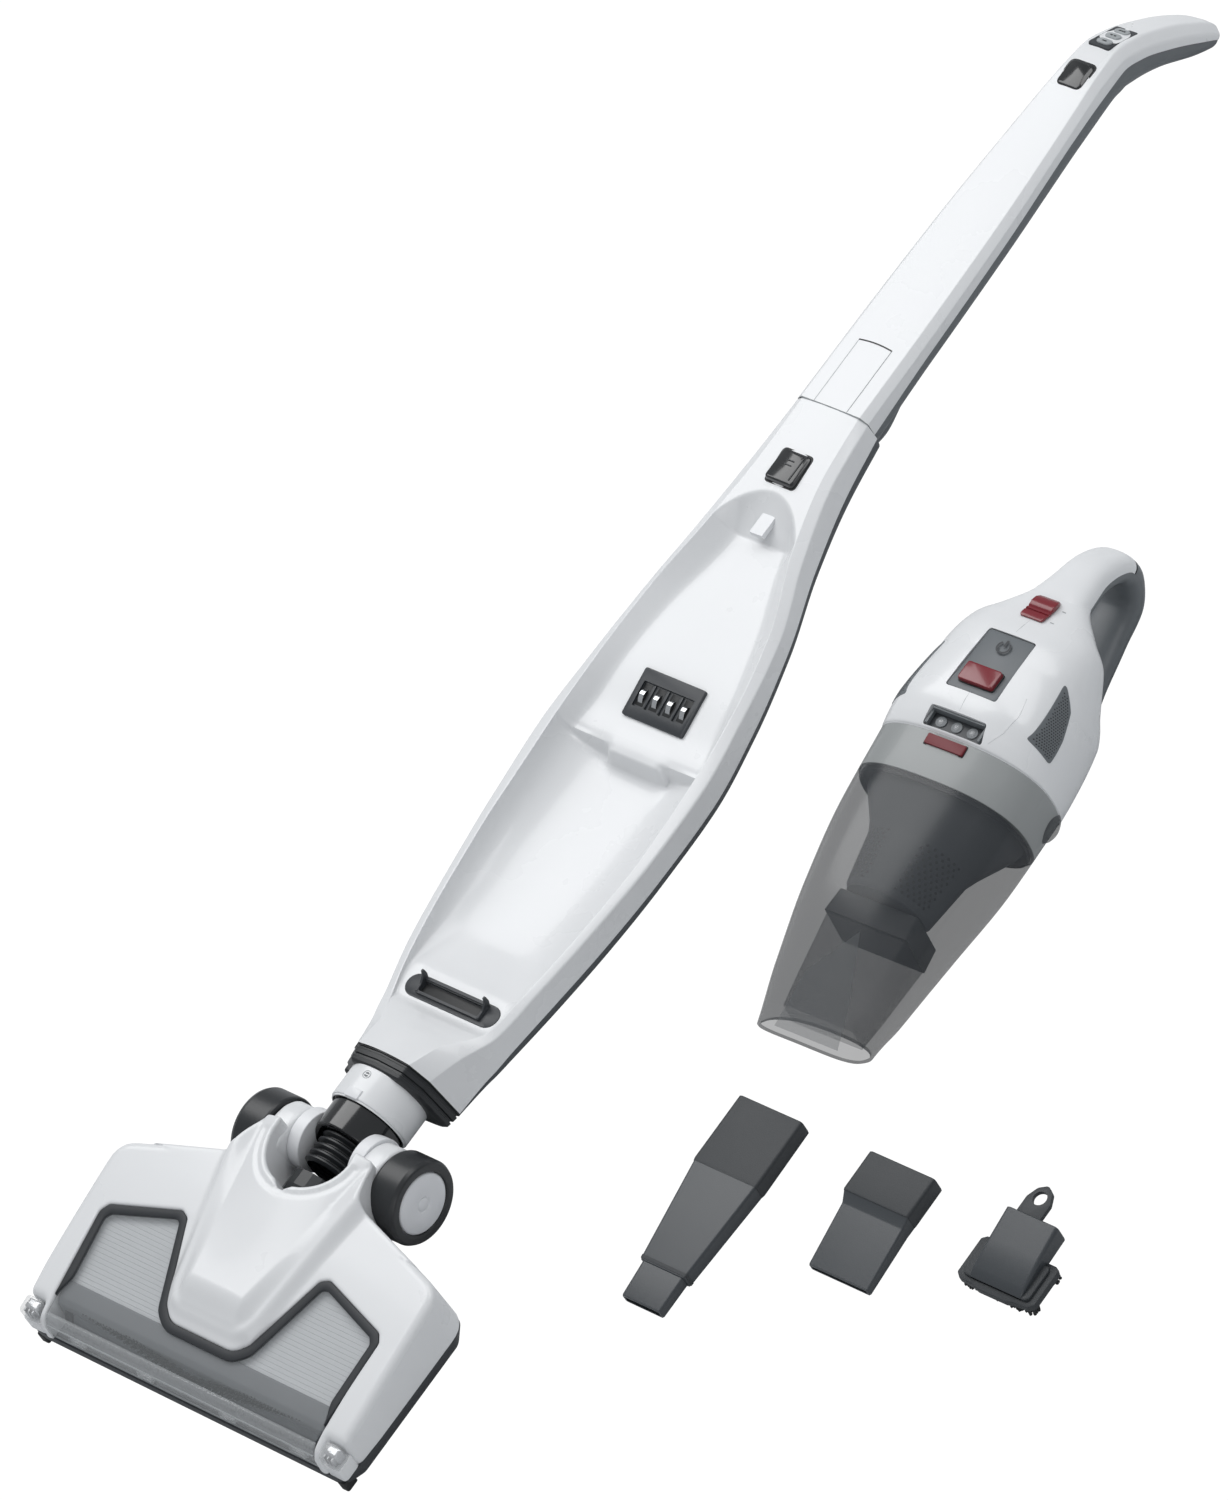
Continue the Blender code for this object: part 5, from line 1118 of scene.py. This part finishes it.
    # Faint raised lines on the body.
    draped("unit_seam_front", [(0, 13), (0, 20), (0, 26.8)], 0.4, 0.04, KEY_GREY)
    draped("unit_seam_middle", [(0, 72.8), (0, 79), (0, 86)], 0.4, 0.04, KEY_GREY)
    draped("unit_ledge_right", [(24, 3), (30, 12), (33, 24), (31, 36)], 1, 0.2, WHITE)


def side_point(y, z, side, lift):
    """A point on the body's flank at a given Y and Z."""
    half, low, high = smooth(BODY, min(max(y, 0), BODY_END))[0]
    mid, tall = (low + high) / 2, (high - low) / 2
    u = min(abs((z - mid) / tall), 0.999)
    x = half * (1 - u ** 2.5) ** (1 / 2.5)
    return (side * (x + lift), y, z)


def place_vent(name, outline, side):
    rim = resample(outline, 1.4)
    gy, gz = np.meshgrid(np.arange(8, 62, 1.4), np.arange(16, 42, 1.4))
    gy, gz = gy.ravel(), gz.ravel()
    keep = distance(gy, gz, rim) < -0.8
    flat, faces = fill(rim, np.column_stack([gy[keep], gz[keep]]))
    rows = ((flat, 0.35), (rim, 0.35), (rim, -0.8))
    points = [side_point(*p, side, lift) for line, lift in rows for p in line]
    shape(f"side_vent_{name}", points, faces, "handheld", GREY, local=RING, replaces=(f"vent_{name}",))


def make_loop():
    table = np.column_stack([np.arange(len(LOOP)), LOOP])
    at = np.linspace(0, len(LOOP) - 1, 91)
    outer, inner, back = [], [], []
    for t, row in zip(at, smooth(table, at)):
        ring = tilted(row, half_oval(row[3], -row[4], power=0.78))
        if t <= LOOP_TURN:
            outer.append(ring)
        if t >= LOOP_TURN - 0.1:
            back.append(ring + (ring - [0, row[0], row[1]]) * -0.012)
        inner.append(tilted(row, half_oval(row[3], row[4], power=0.78) * [0.985, 1]))
    skin("loop_white", outer, "handheld", WHITE, around=False, local=RING, replaces=("hand_handle_shell",))
    skin("loop_inner", inner, "handheld", GREY, around=False, local=RING, replaces=("hand_handle_grip",))
    skin("loop_back", back, "handheld", GREY, around=False, local=RING)


def make_bin():
    ys = np.concatenate([np.linspace(BIN_END, -150, 22), np.linspace(-147, -28, 40)])

    slant, slant_end = 24, -148

    def sloped(y, inset=0):
        """A ring whose lower side sits further back near the mouth, which faces the floor."""
        ring = hand_ring(y, BIN, inset)
        high = ring[:, 2].max()
        tall = high - ring[:, 2].min()
        share = 1 - step(np.array([y]), BIN_END - 1, slant_end)[0]
        ring[:, 1] += slant * share * ((high - ring[:, 2]) / tall) ** 1.3
        return ring

    rings = [sloped(y, i) for y, i in ((-188.4, 1.8), (-190, 1.7), (-190.4, 0.9))]
    skin("bin_wall", rings + [sloped(y) for y in ys], "bin", SMOKE, local=RING, caps=OPEN, angle=60,
         replaces=("dust_bin",))
    # The frosted collar behind the filter's dark rim.
    collar = ((-28.4, 1.6), (-28.4, 0.1), (-27.8, 0), (-14, 0), (-1.4, 0), (-0.8, 0.4), (-0.8, 2.2),
              (-28, 2.2))
    seal = ((-31.6, 2.3), (-31.2, 1.9), (-28.8, 1.9), (-28.4, 2.4), (-28.4, 9))
    for name, rows, mat in (("bin_collar", collar, FROST), ("bin_seal", seal, CHARCOAL)):
        skin(name, [hand_ring(y, BIN, inset) for y, inset in rows], "bin", mat, local=RING, caps=OPEN)
    slab("unit_catch", -13.2, 13.2, -9.4, -3, 32, lambda x, y: bin_top(x, y) + 1.6, "bin_button", RED_SATIN,
         0.9, 0.6, local=RING, replaces=("bin_catch",))
    slab("catch_gap", -13.8, 13.8, -10, -2.4, 32, lambda x, y: bin_top(x, y) + 0.12, "bin", MARK,
         1, 0.05, local=RING)

    # Filter housing: a dark cone, then the perforated cage, its holes dark octagons of painted shade.
    cage_power = 2.1
    cone = ((-28, 52, -38.6, 31.6), (-34, 50, -37, 30), (-52, 37, -33, 25),
            (-60, 33, -31, 23.4), (-92, 28, -27.4, 19), (-95, 26, -25.8, 17.2))
    skin("filter_housing", [ring_at("Y", y, oval(*size, 72, cage_power)) for y, *size in cone], "bin", CAGE,
         local=RING, replaces=("filter_cage",))
    # Painted shade: flat dark octagons stand where the cage's holes are.
    points, faces = [], []
    for i in range(12):
        for j in range(40):
            if 18 <= j <= 22 or 29 <= j <= 39 or j <= 1 or 8 <= j <= 11:
                continue
            y = -60 - 2.75 * i
            a = 2 * math.pi * (j + (0.5 if i % 2 else 0)) / 40
            t = (-60 - y) / 35
            half, low, high = 33.1 - 5.3 * t, -31.1 + 3.9 * t, 23.5 - 4.6 * t
            mid, tall = (low + high) / 2, (high - low) / 2
            c, s = math.cos(a), math.sin(a)
            centre = np.array([half * math.copysign(abs(c) ** (2 / cage_power), c), y,
                               mid + tall * math.copysign(abs(s) ** (2 / cage_power), s)])
            out = np.array([c / half, 0, s / tall])
            out /= np.linalg.norm(out)
            side = np.cross(out, [0, 1, 0])
            start = len(points)
            for m in range(8):
                b = 2 * math.pi * m / 8
                points.append(centre + out * 0.25 + side * math.cos(b) + np.array([0, 1, 0]) * math.sin(b))
            faces.append(tuple(range(start, start + 8)))
    shape("filter_hole_shade", points, faces, "bin", MARK, local=RING, weld=False)
    block = ((-97, 0, 27.5, -30, 6), (-112, 0, 29, -30.5, 5.6))
    skin("inlet_block", [nozzle_ring(*row, 2.5) for row in block], "bin", INLET, local=RING)
    duct = ((-170.6, 0, 24.4, -26.4, -6), (-150, 0, 26, -28, -3), (-112, 0, 28, -30, 3))
    skin("inlet_duct", [nozzle_ring(*row, 2) for row in duct], "bin", INLET_CLEAR, local=RING, caps=OPEN,
         replaces=("bin_inlet",))
    flap = [(-22, -184, -7.4), (22, -184, -7.4), (14, -156, -3.4), (-2, -116, 2.9), (-21, -148, -2.2)]
    shape("inlet_flap", flap, [(0, 1, 2, 3, 4)], "bin", FLAP, local=RING)


# ---------------------------------------------------------------- nozzles

def nozzle_ring(y, middle, half, low, high, corner):
    return ring_at("Y", y, box(-half, half, low, high, corner) + [middle, 0])


def nozzle(name, stations, body, mat, wall=1.6, corner=2.2, **more):
    """A hollow moulded tube with open ends."""
    outer = [nozzle_ring(*row, corner) for row in stations]
    inner = [nozzle_ring(y, m, half - wall, low + wall, high - wall, max(corner - wall, 0.6))
             for y, m, half, low, high in stations]
    return skin(name, outer + inner[::-1], body, mat, loop=True, angle=28, **more)


def make_nozzles():
    wide = ((303, 214.5, 23.4, 1, 11.8), (302.4, 214.5, 24, 0.4, 12.4), (258, 214.8, 24.3, 0.4, 12.6),
            (256, 214.8, 24, 0.6, 12.3))
    nozzle("crevice_socket", wide, "crevice", NOZZLE_DARK, replaces=("crevice_nozzle",))
    thin = ((257, 214.8, 23.7, 0.6, 12.2), (192, 217, 17.2, 0.5, 10.3), (190.6, 217, 16.8, 0.6, 10),
            (190.2, 217.1, 15.4, 1.2, 9.4), (168, 217.8, 14.7, 1.3, 8.5), (167, 217.8, 14.2, 1.6, 8.2))
    nozzle("crevice_spout", thin, "crevice", NOZZLE_SATIN, wall=1.2, corner=1.8)
    ribs = ((193.4, 217, 17.6, 0.4, 10.7), (191.4, 217, 17.4, 0.4, 10.5))
    nozzle("crevice_ledge", ribs, "crevice", NOZZLE_DARK, wall=0.9, corner=1.8)

    wide = ((304, 312.8, 23.8, 1, 12.4), (303.4, 312.8, 24.4, 0.4, 13), (277.6, 312.9, 24.4, 0.4, 13),
            (276.6, 312.9, 24.1, 0.5, 12.7))
    nozzle("flat_socket", wide, "flat", NOZZLE_DARK, replaces=("flat_nozzle",))
    thin = ((277, 312.9, 23.9, 0.6, 12.4), (270.6, 313.9, 22.7, 0.5, 9.7), (269.6, 314, 22.6, 0.5, 9.5),
            (231, 317, 22, 0.5, 6.4), (230, 317, 21.6, 0.8, 6.1))
    nozzle("flat_spout", thin, "flat", NOZZLE_SATIN, wall=1.2, corner=1.2)

    outline = [(384, 261), (387.5, 258), (397, 257.4), (402, 256.2), (422, 256.2), (427, 257.4),
               (436.5, 258), (440, 261), (440, 284.5), (437, 287), (387, 287), (384, 284.5)]
    plate("tool_base", closed_fillet(outline, 1.6), 6.2, 10.4, "brush_tool", NOZZLE_DARK, 0.8,
          replaces=("brush_nozzle",))
    slab("tool_deck", 388, 436, 260.6, 284.6, 10, 12.6, "brush_tool", NOZZLE_DARK, 4, 0.8)
    rows = ((304, 412.5, 18, 9, 21.4), (303.4, 412.5, 18.6, 8.4, 22), (284, 412.7, 18.8, 8.2, 19.2),
            (266, 413, 18.8, 8.2, 15.8), (261.5, 413, 18.6, 8.2, 13.4), (260.6, 413, 18, 8.6, 12.4))
    tube = [nozzle_ring(*row, 2.4) for row in rows]
    body = skin("tool_inlet", tube, "brush_tool", NOZZLE_SATIN, angle=28)
    bore = [nozzle_ring(y, m, half - 1.8, low + 1.6, high - 1.8, 1.2) for y, m, half, low, high in
            ((310, 412.5, 18.6, 8.2, 22), (268, 413, 18.6, 8.2, 15))]
    carve(body, skin("bore", bore, None, CHARCOAL))
    tab = [(400.4, 298), (400.4, 314), (403.6, 321), (409, 324.4), (414.4, 321), (417.6, 314),
           (417.6, 298)]
    hook = plate("tool_tab", closed_fillet(tab, 3.6), 18.4, 21.2, "brush_tool", NOZZLE_DARK, 0.6)
    hole = [(409 + 4.4 * math.cos(a), 315.5 + 4.4 * math.sin(a)) for a in np.linspace(0, 2 * np.pi, 33)[:-1]]
    carve(hook, prism(hole, 10, 40))

    points, faces = [], []
    spread = np.random.default_rng(5)
    for row, (y0, y1) in enumerate(((260, 266), (279, 285))):
        for k in range(26):
            for j in range(3):
                x = 387 + 2 * k + spread.uniform(-0.4, 0.4)
                y = y0 + (y1 - y0) * (j + 0.5) / 3 + spread.uniform(-0.5, 0.5)
                lean = [spread.uniform(-0.5, 0.5), (-1.6 if row == 0 else 1.2) + spread.uniform(-0.6, 0.6)]
                tip = np.array([x + lean[0], y + lean[1], 0.5 + spread.uniform(0, 0.5)])
                ends = ((np.array([x, y, 6.4]), 0.9), (tip, 1.1))
                tuft(points, faces, ends, 5, np.array([1, 0, 0]), np.array([0, 1, 0]))
    shape("tool_bristles", points, faces, "brush_tool", BRISTLE, weld=False, replaces=("nozzle_bristles",))


def finish_inner_pieces():
    """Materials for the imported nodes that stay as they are, most of them inside."""
    looks = {
        "head_duct": BLACK_SATIN, "suction_duct": BLACK_SATIN, "brush_motor": STEEL, "hand_motor": STEEL,
        "motor_pulley": BLACK_SATIN, "drive_belt": RUBBER, "hand_battery": CHARCOAL, "hand_fan": BLACK_SATIN,
        "filter_cloth": CLOTH, "cradle_latch": WHITE_IN, "contact_springs": STEEL,
    }
    for name, mat in looks.items():
        obj = NODES.get(name)
        if obj is not None and obj.type == "MESH":
            obj.data.materials.clear()
            obj.data.materials.append(mat)


# ---------------------------------------------------------------- setting

def make_camera():
    data = bpy.data.cameras.new("camera")
    data.sensor_width = 36
    data.lens = 240
    data.clip_start, data.clip_end = 0.1, 60
    camera = bpy.data.objects.new("camera", data)
    camera.location = (3.35547, -1.76391, 4.29618)
    camera.rotation_mode = "QUATERNION"
    camera.rotation_quaternion = Quaternion((0.8993409, 0.2376715, 0.2743454, 0.2437883))
    bpy.context.scene.collection.objects.link(camera)
    bpy.context.scene.camera = camera


def softbox(name, position, size, power):
    """A rectangular light aimed at the middle of the layout."""
    data = bpy.data.lights.new(name, "AREA")
    data.shape = "RECTANGLE"
    data.size, data.size_y = size
    data.energy = power
    lamp = bpy.data.objects.new(name, data)
    lamp.location = position
    lamp.rotation_mode = "QUATERNION"
    lamp.rotation_quaternion = (-Vector(position)).to_track_quat("-Z", "Y")
    bpy.context.scene.collection.objects.link(lamp)


def camera_sees(tree, lit, shown, output):
    """Shows one shader to the camera while another lights the pieces."""
    path = tree.nodes.new("ShaderNodeLightPath")
    mix = tree.nodes.new("ShaderNodeMixShader")
    tree.links.new(path.outputs["Is Camera Ray"], mix.inputs["Fac"])
    tree.links.new(lit, mix.inputs[1])
    tree.links.new(shown, mix.inputs[2])
    tree.links.new(mix.outputs["Shader"], tree.nodes[output].inputs["Surface"])


def make_setting():
    mesh = bpy.data.meshes.new("floor")
    mesh.from_pydata([(x, y, -0.0006) for x, y in ((-6, -6), (6, -6), (6, 6), (-6, 6))], [], [(0, 1, 2, 3)])
    floor = bpy.data.objects.new("floor", mesh)
    bpy.context.scene.collection.objects.link(floor)
    mat = bpy.data.materials.new("floor_pale")
    mat.use_nodes = True
    tree = mat.node_tree
    shader = tree.nodes["Principled BSDF"]
    shader.inputs["Base Color"].default_value = (0.62, 0.63, 0.64, 1)
    shader.inputs["Roughness"].default_value = 0.9
    glow = tree.nodes.new("ShaderNodeEmission")
    glow.inputs["Strength"].default_value = 1.05
    camera_sees(tree, shader.outputs["BSDF"], glow.outputs["Emission"], "Material Output")
    mesh.materials.append(mat)

    world = bpy.data.worlds.new("studio")
    world.use_nodes = True
    tree = world.node_tree
    soft = tree.nodes["Background"]
    soft.inputs["Color"].default_value = (0.93, 0.96, 1, 1)
    soft.inputs["Strength"].default_value = 0.42
    white = tree.nodes.new("ShaderNodeBackground")
    camera_sees(tree, soft.outputs["Background"], white.outputs["Background"], "World Output")
    bpy.context.scene.world = world
    softbox("key", (-1.6, 0.6, 2.6), (1.8, 2.6), 46)
    softbox("top", (0.3, 1.6, 2.6), (2.4, 1), 22)
    softbox("fill", (1.6, -2.2, 1.6), (1.4, 1.4), 9)
    bpy.context.scene.view_settings.view_transform = "Standard"


def main():
    for make in (make_camera, make_setting, make_stick, make_dock, make_contacts, make_controls, make_neck,
                 make_head, make_windows, make_brush, make_wheels, make_handheld_body, make_loop, make_bin,
                 make_nozzles, finish_inner_pieces):
        make()


main()
